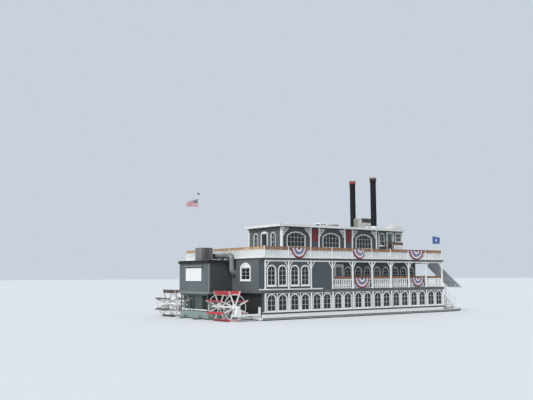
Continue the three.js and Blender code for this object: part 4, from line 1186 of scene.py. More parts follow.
red_board = enamel("red_board", (0.17, 0.022, 0.035), amount=0.3, gloss=0.45)
slate_board = enamel("slate_board", (0.075, 0.085, 0.12), amount=0.35, gloss=0.5)
for name, paint, z0, z1, slot in (
    ("red_boards", red_board, 7.875, 9.05, "red_paint"),
    ("slate_boards", slate_board, 6.10, 7.865, "grey_paint"),
):
    gaps = (HOUSE_POSTS[1:3], HOUSE_POSTS[3:5])
    twins([framed_board(a + 0.075, b - 0.075, z0, z1) for a, b in gaps], name, paint)

stern_trim = []
for y in (-2.60, 2.60):
    stern_trim.append(bar((-7.85, y - 0.06, HOUSE_FOOT), (-7.79, y + 0.06, HOUSE_HEAD), 0.008))
for y in (-0.505, 0.505):
    stern_trim.append(bar((-7.87, y - 0.065, 6.08), (-7.80, y + 0.065, 8.62), 0.01))
head = arched_slab(1.14, 8.60, 8.83, 0.22, 0, -0.05)
head.data.transform(facing(-90, -7.82, 0))
stern_trim.append(head)
together(stern_trim, "house_stern_trim", trim_white, slot="white_paint")
# The same painted eave shadow along the tops of the end walls.
end_eave_shadows = []
for x0, x1 in ((-7.875, -7.80), (8.44, 8.485)):
    end_eave_shadows.append(bar((x0, -2.66, EAVE_SHADOW_LOW), (x1, 2.66, HOUSE_HEAD), 0.005))
together(end_eave_shadows, "end_eave_shadow_bands", shade_black, slot="dark_metal")


# Doors: flush leaves with a glazed light in a beaded frame, a kick plate and a lever
# handle on both faces, and a raised panel below a short light. All of it rides on the leaf.
def door_leaf(width, sill, top, light_low):
    """The joinery, light and metal of one face of a leaf, at x = 0, with the face at y = 0."""
    half = width / 2
    inner, outer = half - 0.105, half - 0.07
    bead_foot, light_top, bead_head = light_low - 0.045, top - 0.12, top - 0.085
    rails = [
        bar((-outer, -0.022, bead_foot), (-inner, 0.003, bead_head), 0.005),
        bar((inner, -0.022, bead_foot), (outer, 0.003, bead_head), 0.005),
        bar((-inner, -0.022, light_top), (inner, 0.003, bead_head), 0.005),
        bar((-inner, -0.022, bead_foot), (inner, 0.003, light_low), 0.005),
    ]
    if light_low - sill > 0.6:
        panel = bar((-half + 0.14, -0.014, sill + 0.2), (half - 0.14, 0.002, light_low - 0.12), 0)
        rails.append(eased(bordered_field(panel, lambda c: c.y < -0.013, 0.045, 0.03, 0.008), 0.004))
    light = bar((-inner, -0.006, light_low), (inner, 0.0, light_top), 0)
    spindle, grip = half - 0.041, sill + 1.0
    metal = [
        bar((half - 0.062, -0.006, sill + 0.88), (half - 0.02, 0.0, sill + 1.10), 0.003),
        rod((spindle, -0.004, grip), (spindle, -0.045, grip), 0.010, 12),
        rod((spindle, -0.041, grip), (half - 0.15, -0.041, grip), 0.009, 12, 0.004),
        bar((-half + 0.05, -0.004, sill + 0.03), (half - 0.05, 0.0, sill + 0.17), 0.002),
    ]
    return rails, light, metal


brushed, place, shader = new_finish("brushed_metal")
streak = place.noise(30.0, 4.0, (1, 1, 0.1))
feed(
    shader,
    Base_Color=constant(place, (0.45, 0.45, 0.44)).blend(streak * 0.4, (0.25, 0.24, 0.22)),
    Metallic=0.9,
    Roughness=streak * 0.25 + 0.28,
)
# The stern door's paint is near black: painted shade for the dark doorway.
door_paint = {"foredeck": door_grey, "stern": door_shaded_dark}
OUTER_TURN = {"starboard": 0, "port": 180, "stern": -90, "foredeck": 90}
# A leaf's width, foot, head and foot of the light
PROMENADE_LEAF = (0.92, 3.38, 5.47, 3.72)
CAB_LEAF = (0.85, 7.03, 9.04, 7.30)
STERN_LEAF = (0.85, 6.20, 8.55, 6.46)
FOREDECK_LEAF = (0.84, 1.08, 2.95, 1.95)
# Its node, body and sizes, the side it faces, its place along that side, its outer face and
# which way its handle lies
LEAVES = (
    ("promenade_door_starboard", "starboard_promenade_door", PROMENADE_LEAF, "starboard", -3.175, -5.45, 1),
    ("promenade_door_port", "port_promenade_door", PROMENADE_LEAF, "port", -3.175, 5.45, -1),
    ("cab_door_starboard", "starboard_cab_door", CAB_LEAF, "starboard", 6.587, -2.63, 1),
    ("cab_door_port", "port_cab_door", CAB_LEAF, "port", 6.587, 2.63, -1),
    ("house_stern_door", "stern_house_door", STERN_LEAF, "stern", -0.005, -7.82, -1),
    ("foredeck_door_starboard", "starboard_foredeck_door", FOREDECK_LEAF, "foredeck", -0.43, 9.95, 1),
    ("foredeck_door_port", "port_foredeck_door", FOREDECK_LEAF, "foredeck", 0.43, 9.95, -1),
)
LEAF_THICK = 0.04
sheer_glass, place, shader = new_finish("sheer_glass")
smears = place.noise(1.1, 3.0).ramp(0.4, 0.7)
feed(
    shader,
    Base_Color=constant(place, (0.075, 0.10, 0.10)).blend(smears * 0.5, (0.14, 0.17, 0.16)),
    Roughness=place.noise(1.5) * 0.1 + 0.06,
)
for node, body, sizes, side, along, face, hand in LEAVES:
    paint = door_paint.get(side, trim_white)
    turn = OUTER_TURN[side]
    inner = face + LEAF_THICK * (1 if side in ("starboard", "stern") else -1)
    sets = [[], [], []]
    for spun, at, handed in ((turn, face, hand), (turn + 180, inner, -hand)):
        place_xy = (along, at) if side in ("starboard", "port") else (at, along)
        matrix = facing(spun, *place_xy) @ Matrix.Scale(handed, 4, (1, 0, 0))
        rails, light, metal = door_leaf(*sizes)
        for chosen, parts in zip(sets, (rails, [light], metal)):
            for part in parts:
                chosen += repeated(part, [matrix])
    together(sets[0], node + "_joinery", paint, body, "grey_paint" if side in door_paint else "white_paint")
    together(sets[1], node + "_light", glass if side == "stern" else sheer_glass, body, "window_glass")
    together(sets[2], node + "_hardware", brushed, body, "dark_metal")

# Each side doorway's ends, foot, head and wall
DOORWAYS = ((6.15, 7.03, 7.0, 9.05, HOUSE_Y), (-3.65, -2.70, 3.36, 5.48, SALOON_Y))
casings = []
for s, turn in ((-1, 0), (1, 180)):
    for x0, x1, foot, head_z, wall in DOORWAYS:
        middle, half = (x0 + x1) / 2, (x1 - x0) / 2
        for part in (
            bar((-half - 0.115, -0.035, foot), (-half - 0.005, 0.003, head_z + 0.12), 0.008),
            bar((half + 0.005, -0.035, foot), (half + 0.115, 0.003, head_z + 0.12), 0.008),
            bar((-half - 0.13, -0.045, head_z + 0.005), (half + 0.13, 0.003, head_z + 0.12), 0.008),
        ):
            casings += repeated(part, [facing(turn, middle, s * wall)])
for y in (-0.93, 0.93):
    casings.append(bar((9.945, y - 0.05, 1.06), (9.985, y + 0.05, 3.03), 0.008))
casings.append(bar((9.945, -0.98, 2.965), (9.99, 0.98, 3.035), 0.008))
together(casings, "door_casings", trim_white, slot="white_paint")


# Pilot's cab: a sash window on each side, four across the front, and a small wing
# platform with a white weather cloth below a brown rail on brown posts
def square_window(width, sill, top, casing):
    """Casing, sash and glass of a window with a square head, at x = 0."""
    half = width / 2
    out, foot = half + casing, sill - casing
    wood = [
        bar((-out, -0.035, foot), (-half, 0.003, top + casing), 0.006),
        bar((half, -0.035, foot), (out, 0.003, top + casing), 0.006),
        bar((-half, -0.035, top), (half, 0.003, top + casing), 0.006),
        bar((-half, -0.035, foot), (half, 0.003, sill), 0.006),
        bar((-out - 0.03, -0.07, foot - 0.045), (out + 0.03, 0.0, foot + 0.01), 0.008),
        bar((-half, 0.018, sill), (-half + 0.045, 0.055, top), 0.004),
        bar((half - 0.045, 0.018, sill), (half, 0.055, top), 0.004),
        bar((-half, 0.018, sill), (half, 0.055, sill + 0.06), 0.004),
        bar((-half, 0.018, top - 0.05), (half, 0.055, top), 0.004),
        bar((-half, 0.012, (sill + top) / 2 - 0.02), (half, 0.05, (sill + top) / 2 + 0.02), 0.004),
    ]
    pane = bar((-half + 0.002, 0.032, sill + 0.002), (half - 0.002, 0.04, top - 0.002), 0)
    return together(wood, "window_joinery", body=None), pane


cab_window = square_window(0.85, 8.065, 8.975, 0.085)
install(cab_window, "cab_side_window", [facing(0, 7.85, -HOUSE_Y), facing(180, 7.85, HOUSE_Y)], sheer_glass)
discard(cab_window)
bridge_window = square_window(1.04, 7.905, 8.975, 0.07)
install(bridge_window, "bridge_window", [facing(90, 8.45, k * 1.24) for k in (-1.5, -0.5, 0.5, 1.5)])
discard(bridge_window)
bow_face = [bar((8.44, y - 0.06, HOUSE_FOOT), (8.475, y + 0.06, HOUSE_HEAD), 0.006) for y in (-2.62, 2.62)]
bow_face.append(bar((8.44, -2.6, 7.62), (8.48, 2.6, 7.70), 0.008))
together(bow_face, "house_bow_trim", trim_white, slot="white_paint")

wing_brown = timber("wing_brown", (0.17, 0.085, 0.05), (0.075, 0.035, 0.022), "X")
weather_cloth = enamel("weather_cloth", (0.70, 0.72, 0.72), amount=0.45, gloss=0.6)
wing_white = [
    bar((6.42, -3.35, 7.03), (7.765, -3.327, 7.72), 0.004),
    bar((7.775, -3.32, 7.03), (7.79, -2.70, 7.72), 0.004),
    bar((5.60, -3.345, 6.92), (7.79, -3.325, 7.0), 0.005),
]
for x in (5.75, 6.7, 7.6):
    wing_white.append(bar((x - 0.03, -3.28, 6.84), (x + 0.03, -2.68, 6.905), 0.006))
    wing_white.append(bar((x - 0.03, -2.74, 6.45), (x + 0.03, -2.68, 6.85), 0.006))
wing_wood = [
    bar((6.38, -3.36, 7.73), (7.80, -3.325, 7.955), 0.006),
    bar((5.58, -3.37, 7.955), (7.81, -3.27, 7.995), 0.01),
    bar((7.74, -3.33, 7.955), (7.81, -2.69, 7.995), 0.01),
    bar((5.58, -3.34, 7.45), (6.40, -3.30, 7.50), 0.006),
    bar((5.58, -3.34, 7.955), (5.64, -2.69, 7.995), 0.01),
    bar((5.59, -3.32, 7.45), (5.63, -2.69, 7.50), 0.006),
]
for x, y in ((5.61, -3.32), (6.37, -3.32), (5.61, -2.73)):
    wing_wood.append(bar((x - 0.03, y - 0.03, 7.0), (x + 0.03, y + 0.03, 8.03), 0.006))
twins(wing_white, "wing_white", weather_cloth)
twins(wing_wood, "wing_wood", wing_brown)


# House roof: white membrane over plywood, lapped every metre and a half, with a white
# fascia under a drip edge. Foot traffic and water have marked it.
roof_skin, place, shader = new_finish("roof_skin")
lap = axis(place, "X").joints(1.52, 0.490, 0.497)
puddles = place.noise(0.45, 5.0).ramp(0.45, 0.68)
skin = constant(place, (0.60, 0.61, 0.60)).blend(puddles * 0.45, (0.30, 0.29, 0.26))
skin = skin.blend(weathering(place, 0.25), SOIL).blend(lap * 0.4, (0.22, 0.22, 0.21))
feed(
    shader,
    Base_Color=skin,
    Roughness=puddles * 0.2 + 0.5,
    Normal=(place.noise(2.2, 3.0) + lap * 0.4).bump(0.4, 0.02),
)
dress(["house_roof"], roof_skin)
EAVE_CORNERS = ((-8.17, -3.03), (5.65, -3.03), (5.65, -2.88), (8.62, -2.88), (8.62, 0.0))
# Foot, head and overhang of the fascia board and of the drip edge over it
EAVE_BANDS = ((9.20, 9.37, 0.016), (9.365, 9.412, 0.03))
eaves = []
for (x0, y0), (x1, y1) in zip(EAVE_CORNERS, EAVE_CORNERS[1:]):
    lower, upper = sorted((y0, y1))
    for low, high, out in EAVE_BANDS:
        past = out if x0 != x1 else 0
        eaves.append(bar((x0 - out, lower - out, low), (x1 + out, upper + past, high), 0.006))
for low, high, out in EAVE_BANDS:
    eaves.append(bar((-8.17 - out, -3.03 - out, low), (-8.16, 0.0, high), 0.006))
twins(eaves, "roof_fascia", trim_white)


# Cab roofs: sheet metal bent to an ogee over each wing of the cab, with a low fascia and
# a turned finial. They replace the faceted solids.
def stacked(piece, profile):
    """Extrudes a face up in steps. profile holds (share of its size, height)."""
    editing(piece)
    everything()
    share, height = profile[0]
    for next_share, next_height in profile[1:]:
        extrude(z=next_height - height)
        ratio = next_share / share
        bpy.ops.transform.resize(value=(ratio, ratio, 1))
        share, height = next_share, next_height
    face_out()
    done()
    bpy.ops.object.shade_smooth_by_angle(angle=math.radians(32))
    return piece


def turned(x, y, profile, sides=32):
    """A turned shape. profile holds (radius, height) from its foot up."""
    radius, height = profile[0]
    bpy.ops.mesh.primitive_circle_add(
        vertices=sides, radius=radius, fill_type="NGON", location=(x, y, height)
    )
    return stacked(settle(bpy.context.object), profile)


OGEE = (
    *((1.0, 9.402), (1.0, 9.445), (0.97, 9.46), (0.90, 9.52), (0.84, 9.60)),
    *((0.78, 9.675), (0.70, 9.73), (0.60, 9.765), (0.48, 9.80), (0.37, 9.86)),
    *((0.28, 9.94), (0.20, 10.02), (0.12, 10.085), (0.05, 10.12), (0.03, 10.135)),
)
FINIAL = (
    *((0.045, 10.11), (0.05, 10.15), (0.025, 10.165), (0.022, 10.19), (0.05, 10.21)),
    *((0.062, 10.24), (0.05, 10.27), (0.02, 10.29), (0.012, 10.35)),
)
CAB_X, CAB_Y = (6.77, 8.60), (1.53, 2.86)
cab_middle = ((CAB_X[0] + CAB_X[1]) / 2, -(CAB_Y[0] + CAB_Y[1]) / 2)
bpy.ops.mesh.primitive_plane_add(size=1)
outline = bpy.context.object
spread = Matrix.Diagonal((CAB_X[1] - CAB_X[0], CAB_Y[1] - CAB_Y[0], 1, 1))
outline.data.transform(shift(*cab_middle, OGEE[0][1]) @ spread)
ogee = stacked(outline, OGEE)
finial = turned(*cab_middle, FINIAL, 16)
rim_x, rim_y = CAB_X[1] - 0.01, -CAB_Y[1] + 0.01
rims = [
    bar((CAB_X[0] - 0.01, -CAB_Y[1] - 0.012, 9.385), (CAB_X[1] + 0.012, rim_y, 9.47), 0.008),
    bar((rim_x, rim_y, 9.385), (CAB_X[1] + 0.012, -CAB_Y[0] + 0.01, 9.47), 0.008),
]
sheet_roof, place, shader = new_finish("sheet_roof")
soot = place.noise(1.4, 5.0).ramp(0.42, 0.7)
feed(
    shader,
    Base_Color=constant(place, (0.58, 0.59, 0.59))
    .blend(soot * 0.4, (0.36, 0.36, 0.35))
    .blend(weathering(place, 0.25), SOIL),
    Roughness=soot * 0.2 + 0.38,
    Normal=place.noise(3.5, 2.0).bump(0.3, 0.02),
)
twins([ogee, finial] + rims, "cab_roof_sheet", sheet_roof, stands_for="cab_roof")


# Roof fittings: a louvred skylight, a hatch and two small round vents
VENT = (
    *((0.26, 9.401), (0.26, 9.47), (0.32, 9.475), (0.335, 9.53)),
    *((0.30, 9.62), (0.22, 9.69), (0.11, 9.735), (0.03, 9.75)),
)
roof_grey = enamel("roof_grey", (0.80, 0.82, 0.81), amount=0.3)
skylight = [bar((-1.12, -0.42, 9.401), (-0.26, 0.42, 9.67), 0.02)]
lid = bar((-1.16, -0.45, 9.80), (-0.22, 0.45, 9.915), 0.012)
editing(lid)
pick("faces", lambda c: c.z > 9.91)
bpy.ops.mesh.inset(thickness=0.16)
bpy.ops.transform.translate(value=(0, 0, 0.02))
done()
skylight.append(lid)
for x in (-1.04, -0.69, -0.34):
    for y in (-0.36, 0.36):
        skylight.append(bar((x - 0.08, y - 0.05, 9.65), (x + 0.08, y + 0.05, 9.81), 0.004))
together(skylight, "roof_skylight", roof_grey, slot="roof_paint")
# The louvres and the block behind them are near black: painted shade inside the skylight's openings.
louvres = [bar((-1.08, -0.34, 9.62 + 0.048 * k), (-0.30, 0.34, 9.645 + 0.048 * k), 0) for k in range(4)]
louvres.append(bar((-1.00, -0.28, 9.60), (-0.38, 0.28, 9.83), 0))
together(louvres, "roof_skylight_shaded_louvres", shade_black, slot="dark_metal")
hatch_grey = enamel("hatch_grey", (0.33, 0.345, 0.345), amount=0.4)
hatch = [
    bar((0.66, -0.38, 9.401), (1.44, 0.38, 9.79), 0.015),
    bar((0.62, -0.42, 9.785), (1.48, 0.42, 9.83), 0.012),
    rod((0.80, -0.43, 9.80), (1.30, -0.43, 9.80), 0.012, 8),
]
hatch += [rod((x, -0.39, 9.72), (x, -0.45, 9.80), 0.012, 8) for x in (0.84, 1.26)]
together(hatch, "roof_hatch", hatch_grey, slot="roof_paint")
vents = [turned(4.88, y, VENT, 28) for y in (-1.02, 1.02)]
together(vents, "roof_fittings", sheet_roof, slot="roof_paint")


# Air handling unit: galvanised cabinet on a curb, with a blank door and a louvred panel
# astern, a dark coil over white filters on each side, and two fan grilles on top. It
# replaces the plain block.
cabinet_zinc, place, shader = new_finish("cabinet_zinc")
dull = place.noise(1.8, 5.0).ramp(0.38, 0.7)
feed(
    shader,
    Base_Color=constant(place, (0.50, 0.49, 0.45))
    .blend(dull * 0.5, (0.33, 0.32, 0.30))
    .blend(weathering(place, 0.4), (0.22, 0.17, 0.13)),
    Metallic=0.25,
    Roughness=dull * 0.2 + 0.42,
    Normal=place.noise(8.0, 3.0).bump(0.25, 0.008),
)
coil_grey = enamel("coil_grey", (0.085, 0.088, 0.088), amount=0.5, gloss=0.55, rust=0.4)
cabinet_white = enamel("cabinet_white", (0.62, 0.63, 0.63), amount=0.5, rust=0.4)
# Its aft and forward faces, half its width, its foot and its top
U0, U1, UY, UB, UT = 4.50, 6.10, 0.60, 9.402, 10.655
cabinet = [
    bar((U0 + 0.03, -UY + 0.03, UB), (U1 - 0.03, UY - 0.03, UT - 0.04), 0),
    bar((U0, -UY, UT - 0.06), (U1, UY, UT - 0.01), 0.01),
    bar((U0, -UY, UB), (U1, UY, UB + 0.09), 0.01),
]
for x in (U0 + 0.025, U1 - 0.025):
    for y in (-UY + 0.025, UY - 0.025):
        cabinet.append(bar((x - 0.025, y - 0.025, UB), (x + 0.025, y + 0.025, UT - 0.05), 0.005))
cabinet.append(bar((U0 + 0.012, -UY + 0.07, UB + 0.12), (U0 + 0.035, -0.03, UT - 0.1), 0.006))
cabinet.append(rod((U0 + 0.012, -0.12, 9.95), (U0, -0.12, 9.95), 0.022, 12))
for k in range(12):
    y = 0.055 + k * 0.041
    cabinet.append(bar((U0 + 0.004, y, UB + 0.12), (U0 + 0.03, y + 0.012, UT - 0.1), 0))
unit = together(cabinet, "roof_unit_cabinet", cabinet_zinc, slot="galvanised_steel")
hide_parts("roof_air_unit")
coils = [bar((U0 + 0.08, -UY + 0.012, 10.20), (U1 - 0.08, UY - 0.012, UT - 0.08), 0)]
fin_row = bar((U0 + 0.1, -UY + 0.002, 10.215), (U0 + 0.112, -UY + 0.02, UT - 0.09), 0)
fins = [copied(fin_row, shift(0.045 * k)) for k in range(32)]
coils += fins + [copied(fin, PORT_SIDE) for fin in fins]
bpy.data.objects.remove(fin_row)
for x in (4.90, 5.70):
    for r in (0.06, 0.13, 0.20, 0.27):
        coils.append(hoop((x, 0, UT), r, 0.008, 28, 4))
    middle = Vector((x, 0, UT))
    for turn in range(4):
        a = math.radians(45 * turn)
        reach = Vector((math.cos(a), math.sin(a), 0)) * 0.28
        coils.append(rod(middle - reach, middle + reach, 0.006, 6))
coils.append(bar((U0 + 0.02, 0.04, UB + 0.11), (U0 + 0.034, UY - 0.06, UT - 0.09), 0))
together(coils, "roof_unit_coils", coil_grey, slot="dark_metal")
filters = []
for k in range(4):
    x = U0 + 0.09 + k * 0.36
    door = bar((x, -UY + 0.005, UB + 0.12), (x + 0.34, -UY + 0.035, 10.17), 0)
    bordered_field(door, lambda c: c.y < -UY + 0.006, 0.025, 0.008, -0.01)
    filters += [door, copied(door, PORT_SIDE)]
together(filters, "roof_unit_filters", cabinet_white, slot="white_paint")


# Smokestacks: rolled steel in lapped sections, black and sooty, on a light flashing
# cone. The crown is a ring of pointed leaves, red outside and faded on the starboard
# stack. They replace the plain tubes.
STACK_LAP = 1.22
stack_paint, place, shader = new_finish("stack_paint")
height_z = axis(place, "Z")
lap = height_z.joints(STACK_LAP, 0.488, 0.4965)
ash = place.noise(1.2, 6.0, (2.2, 2.2, 0.35)).ramp(0.45, 0.75)
burnt = height_z.ramp(13.0, 15.0)
feed(
    shader,
    Base_Color=constant(place, (0.006, 0.0065, 0.011))
    .blend(ash * 0.35, (0.028, 0.027, 0.032))
    .blend(burnt * 0.4, (0.008, 0.007, 0.008))
    .blend(lap * 0.4, (0.05, 0.035, 0.03)),
    Roughness=ash * 0.25 + 0.5,
    Specular_IOR_Level=0.25,
    Normal=(place.noise(5.0, 4.0) * 0.4 + lap).bump(0.4, 0.01),
)
STACK_X, STACK_Y, STACK_R = 5.32, 1.60, 0.305
profile = [(0.36, 9.402), (0.36, 9.47), (STACK_R, 9.50)]
# How far the lapped sections and the head stand out from the tube, and their heights
for k in range(1, 5):
    z = 9.5 + k * STACK_LAP
    for out, height in ((0, z - 0.015), (0.008, z - 0.012), (0.008, z + 0.06), (0, z + 0.064)):
        profile.append((STACK_R + out, height))
for out, height in (
    *((0, 14.42), (0.035, 14.45), (0.04, 14.52), (0.012, 14.56)),
    *((0.03, 14.80), (0.005, 14.80), (-0.02, 14.30), (-0.03, 13.9)),
):
    profile.append((STACK_R + out, height))
tube = turned(STACK_X, -STACK_Y, profile, 40)
twins([tube], "stack", stack_paint, stands_for="smokestack")
FLASHING = (
    *((0.52, 9.401), (0.52, 9.44), (0.46, 9.50), (0.41, 9.60)),
    *((0.375, 9.72), (0.35, 9.73), (0.33, 9.70)),
)
flashing = turned(STACK_X, -STACK_Y, FLASHING, 40)
twins([flashing], "stack_flashing", sheet_roof)
LEAF_COUNT = 12
crown_red = enamel("crown_red", (0.30, 0.018, 0.05), amount=0.3)
crown_faded, place, shader = new_finish("crown_faded")
tips = axis(place, "Z").ramp(14.78, 14.95)
feed(
    shader,
    Base_Color=constant(place, (0.035, 0.018, 0.02)).blend(tips * 0.85, (0.42, 0.20, 0.22)),
    Roughness=place.noise(6.0) * 0.3 + 0.4,
)
leaf = bar((STACK_R + 0.018, -0.078, 14.58), (STACK_R + 0.034, 0.078, 14.86), 0)
editing(leaf)
everything()
bpy.ops.mesh.bisect(plane_co=(0, 0, 14.76), plane_no=(0, 0, 1))
pick("verts", lambda v: v.z > 14.85)
bpy.ops.transform.resize(value=(1, 0.08, 1))
bpy.ops.transform.translate(value=(0.022, 0, 0.145))
pick("verts", lambda v: abs(v.z - 14.76) < 0.01)
bpy.ops.transform.resize(value=(1, 1.06, 1))
bpy.ops.transform.translate(value=(0.008, 0, 0))
done()
for name, y, paint in (("crown_starboard", -STACK_Y, crown_faded), ("crown_port", STACK_Y, crown_red)):
    leaves = [
        copied(leaf, shift(STACK_X, y) @ Matrix.Rotation(math.radians(360 / LEAF_COUNT * k), 4, "Z"))
        for k in range(LEAF_COUNT)
    ]
    together(leaves, name, paint, slot="red_paint")
bpy.data.objects.remove(leaf)


# Annex trim: a blank sign board in a moulded frame, a hooded lamp trough over it, light
# corner boards and a sill band. The roof edge is black felt, and the trestle below is
# boarded in weathered grey-green.
felt_black = enamel("felt_black", (0.007, 0.008, 0.009), (0.035, 0.035, 0.033), 0.4, 0.8)
dress(["annex_roof"], felt_black)
trestle_boards = enamel("trestle_boards", (0.065, 0.082, 0.078), (0.05, 0.05, 0.04), 0.7, 0.7, 0.6)
dress(["annex_support"], trestle_boards)
ANNEX_FACE = -15.62
SIGN_Y, SIGN_Z = (-1.35, 1.39), (4.13, 5.29)


def on_annex(out, inward, y0, y1, z0, z1, ease):
    """A bar across the annex's stern face, from out astern of it to inward of it."""
    return bar((ANNEX_FACE - out, y0, z0), (ANNEX_FACE + inward, y1, z1), ease)


sign = on_annex(0.055, 0.002, *SIGN_Y, *SIGN_Z, 0)
sign_parts = [eased(bordered_field(sign, lambda c: c.x < ANNEX_FACE - 0.05, 0.055, 0.015, -0.02), 0.008, 2)]
for y in (SIGN_Y[0] + 0.03, 0.02, SIGN_Y[1] - 0.03):
    for z in (SIGN_Z[0] + 0.03, SIGN_Z[1] - 0.03):
        sign_parts.append(rod((ANNEX_FACE - 0.05, y, z), (ANNEX_FACE - 0.064, y, z), 0.012, 8))
sign_white = enamel("sign_white", (0.78, 0.79, 0.80), amount=0.25, gloss=0.35)
together(sign_parts, "annex_sign", sign_white, slot="white_paint")
annex_light = enamel("annex_light", (0.20, 0.23, 0.235), amount=0.5)
annex_trim = [
    on_annex(0.02, 0.002, -2.615, 2.615, 3.03, 3.17, 0.005),
    on_annex(0.03, 0.002, -2.63, 2.63, 3.155, 3.19, 0.006),
]
for s in (-1, 1):
    corner = sorted((s * 2.52, s * 2.622))
    annex_trim.append(on_annex(0.022, 0.002, *corner, 3.18, 5.69, 0.005))
    side_face = sorted((s * 2.598, s * 2.62))
    annex_trim.append(on_annex(0.022, 0.09, *side_face, 3.03, 5.69, 0.005))
    annex_trim.append(on_annex(-0.1, 2.36, *side_face, 3.03, 3.16, 0.005))
together(annex_trim, "annex_trim", annex_light, slot="grey_paint")
lamp = on_annex(0.19, 0.002, -1.62, 1.46, 5.41, 5.50, 0)
editing(lamp)
pick("faces", lambda c: c.z < 5.42)
bpy.ops.mesh.inset(thickness=0.02, depth=-0.055)
pick("edges", lambda c: c.x < ANNEX_FACE - 0.18 and c.z > 5.49)
bpy.ops.transform.translate(value=(0.07, 0, 0))
done()
lamp_parts = [eased(lamp, 0.006)]
for y in (-1.4, -0.05, 1.3):
    lamp_parts.append(on_annex(0.13, 0.002, y - 0.02, y + 0.02, 5.495, 5.53, 0.004))
lamp_grey = enamel("lamp_grey", (0.22, 0.24, 0.25), amount=0.4)
together(lamp_parts, "lamp_trough", lamp_grey, slot="grey_paint")
TUBE_Y, TUBE_X = (-1.45, -0.65, 0.15), ANNEX_FACE - 0.10
tube_parts = [rod((TUBE_X, y, 5.44), (TUBE_X, y + 0.72, 5.44), 0.018, 10) for y in TUBE_Y]
tube_parts += [on_annex(0.13, -0.07, y - 0.03, y, 5.42, 5.47, 0.003) for y in TUBE_Y]
together(tube_parts, "lamp_tubes", cabinet_white, slot="white_paint")


# Annex air unit: painted steel cabinet with ribbed louvres and a ringed fan on top. A
# round galvanised duct runs from it over the roof and down to the saloon wall, in gored
# elbows with a raised band at each joint. It replaces the plain block and pipe.
unit_brown, place, shader = new_finish("unit_brown")
faded = place.noise(1.6, 5.0).ramp(0.4, 0.72)
feed(
    shader,
    Base_Color=constant(place, (0.22, 0.21, 0.215))
    .blend(faded * 0.5, (0.30, 0.285, 0.285))
    .blend(weathering(place, 0.4), (0.14, 0.11, 0.09)),
    Roughness=faded * 0.2 + 0.45,
    Normal=place.noise(7.0, 3.0).bump(0.25, 0.01),
)
unit_dark = enamel("unit_dark", (0.075, 0.072, 0.075), amount=0.5, gloss=0.55, rust=0.3)
# The cabinet's ends along the boat, its sides, its foot and its top
AX0, AX1, AY0, AY1, AZ0, AZ1 = -15.43, -14.25, -1.0, 0.12, 5.942, 7.108
RIB_PITCH = 0.0405
shell = [
    bar((AX0 + 0.03, AY0 + 0.03, AZ0), (AX1 - 0.03, AY1 - 0.03, AZ1 - 0.03), 0),
    bar((AX0, AY0, AZ1 - 0.07), (AX1, AY1, AZ1 - 0.015), 0.012),
    bar((AX0, AY0, AZ0), (AX1, AY1, AZ0 + 0.09), 0.01),
]
for x in (AX0 + 0.03, AX1 - 0.03):
    for y in (AY0 + 0.03, AY1 - 0.03):
        shell.append(bar((x - 0.03, y - 0.03, AZ0), (x + 0.03, y + 0.03, AZ1 - 0.03), 0.008))
rib = bar((AX0 + 0.09, AY0 + 0.004, AZ0 + 0.12), (AX0 + 0.115, AY0 + 0.034, AZ1 - 0.1), 0)
rib_places = [RIB_PITCH * k for k in range(7)] + [0.70 + RIB_PITCH * k for k in range(8)]
shell += repeated(rib, [shift(x) for x in rib_places])
rib = bar((AX0 + 0.004, AY0 + 0.08, AZ0 + 0.12), (AX0 + 0.034, AY0 + 0.105, AZ1 - 0.1), 0)
shell += repeated(rib, [shift(0, RIB_PITCH * k) for k in range(24)])
for r in (0.12, 0.22, 0.32, 0.42):
    shell.append(hoop(((AX0 + AX1) / 2, (AY0 + AY1) / 2, AZ1 - 0.012), r, 0.009, 32, 4))
shell = together(shell, "annex_unit", unit_brown, slot="galvanised_steel")
middle_door = bar((AX0 + 0.39, AY0 + 0.006, AZ0 + 0.11), (AX0 + 0.76, AY0 + 0.035, AZ1 - 0.09), 0)
bordered_field(middle_door, lambda c: c.y < AY0 + 0.01, 0.03, 0.01, -0.012)
together([middle_door], "annex_unit_door", unit_dark, slot="dark_metal")

duct_zinc, place, shader = new_finish("duct_zinc")
spangle = place.node("TexVoronoi", None, place, Scale=22.0, output="Color")
dull = place.noise(1.7, 5.0).ramp(0.38, 0.7)
feed(
    shader,
    Base_Color=constant(place, (0.22, 0.235, 0.24))
    .blend(spangle * 0.15, (0.34, 0.35, 0.35))
    .blend(dull * 0.5, (0.11, 0.118, 0.12)),
    Metallic=0.35,
    Roughness=dull * 0.2 + 0.42,
    Normal=place.noise(6.0, 3.0).bump(0.2, 0.01),
)
DUCT_R = 0.25
bpy.ops.mesh.primitive_circle_add(
    vertices=20, radius=DUCT_R, location=(AX1 - 0.02, -0.62, 6.33), rotation=(0, math.pi / 2, 0)
)
duct = settle(bpy.context.object)
editing(duct)
everything()
quarter = math.pi / 2
extrude(-13.90 - (AX1 - 0.02))
bpy.ops.mesh.spin(steps=4, angle=quarter, center=(-13.90, -0.96, 6.33), axis=(0, 0, 1))
for _ in range(2):
    extrude(y=-0.87)
bpy.ops.mesh.spin(steps=4, angle=-quarter, center=(-13.56, -2.70, 5.95), axis=(1, 0, 0))
extrude(z=-0.80)
bpy.ops.mesh.spin(steps=4, angle=quarter, center=(-13.26, -3.08, 5.15), axis=(0, 1, 0))
bpy.ops.mesh.edge_face_add()
everything()
bpy.ops.mesh.remove_doubles(threshold=0.001)
face_out()
done()
bpy.ops.object.shade_smooth_by_angle(angle=math.radians(20))
duct_parts = [duct]


def duct_band(x, y, z, turn):
    """A raised band round the duct."""
    duct_parts.append(hoop((x, y, z), DUCT_R + 0.006, 0.016, 20, 6, turn))


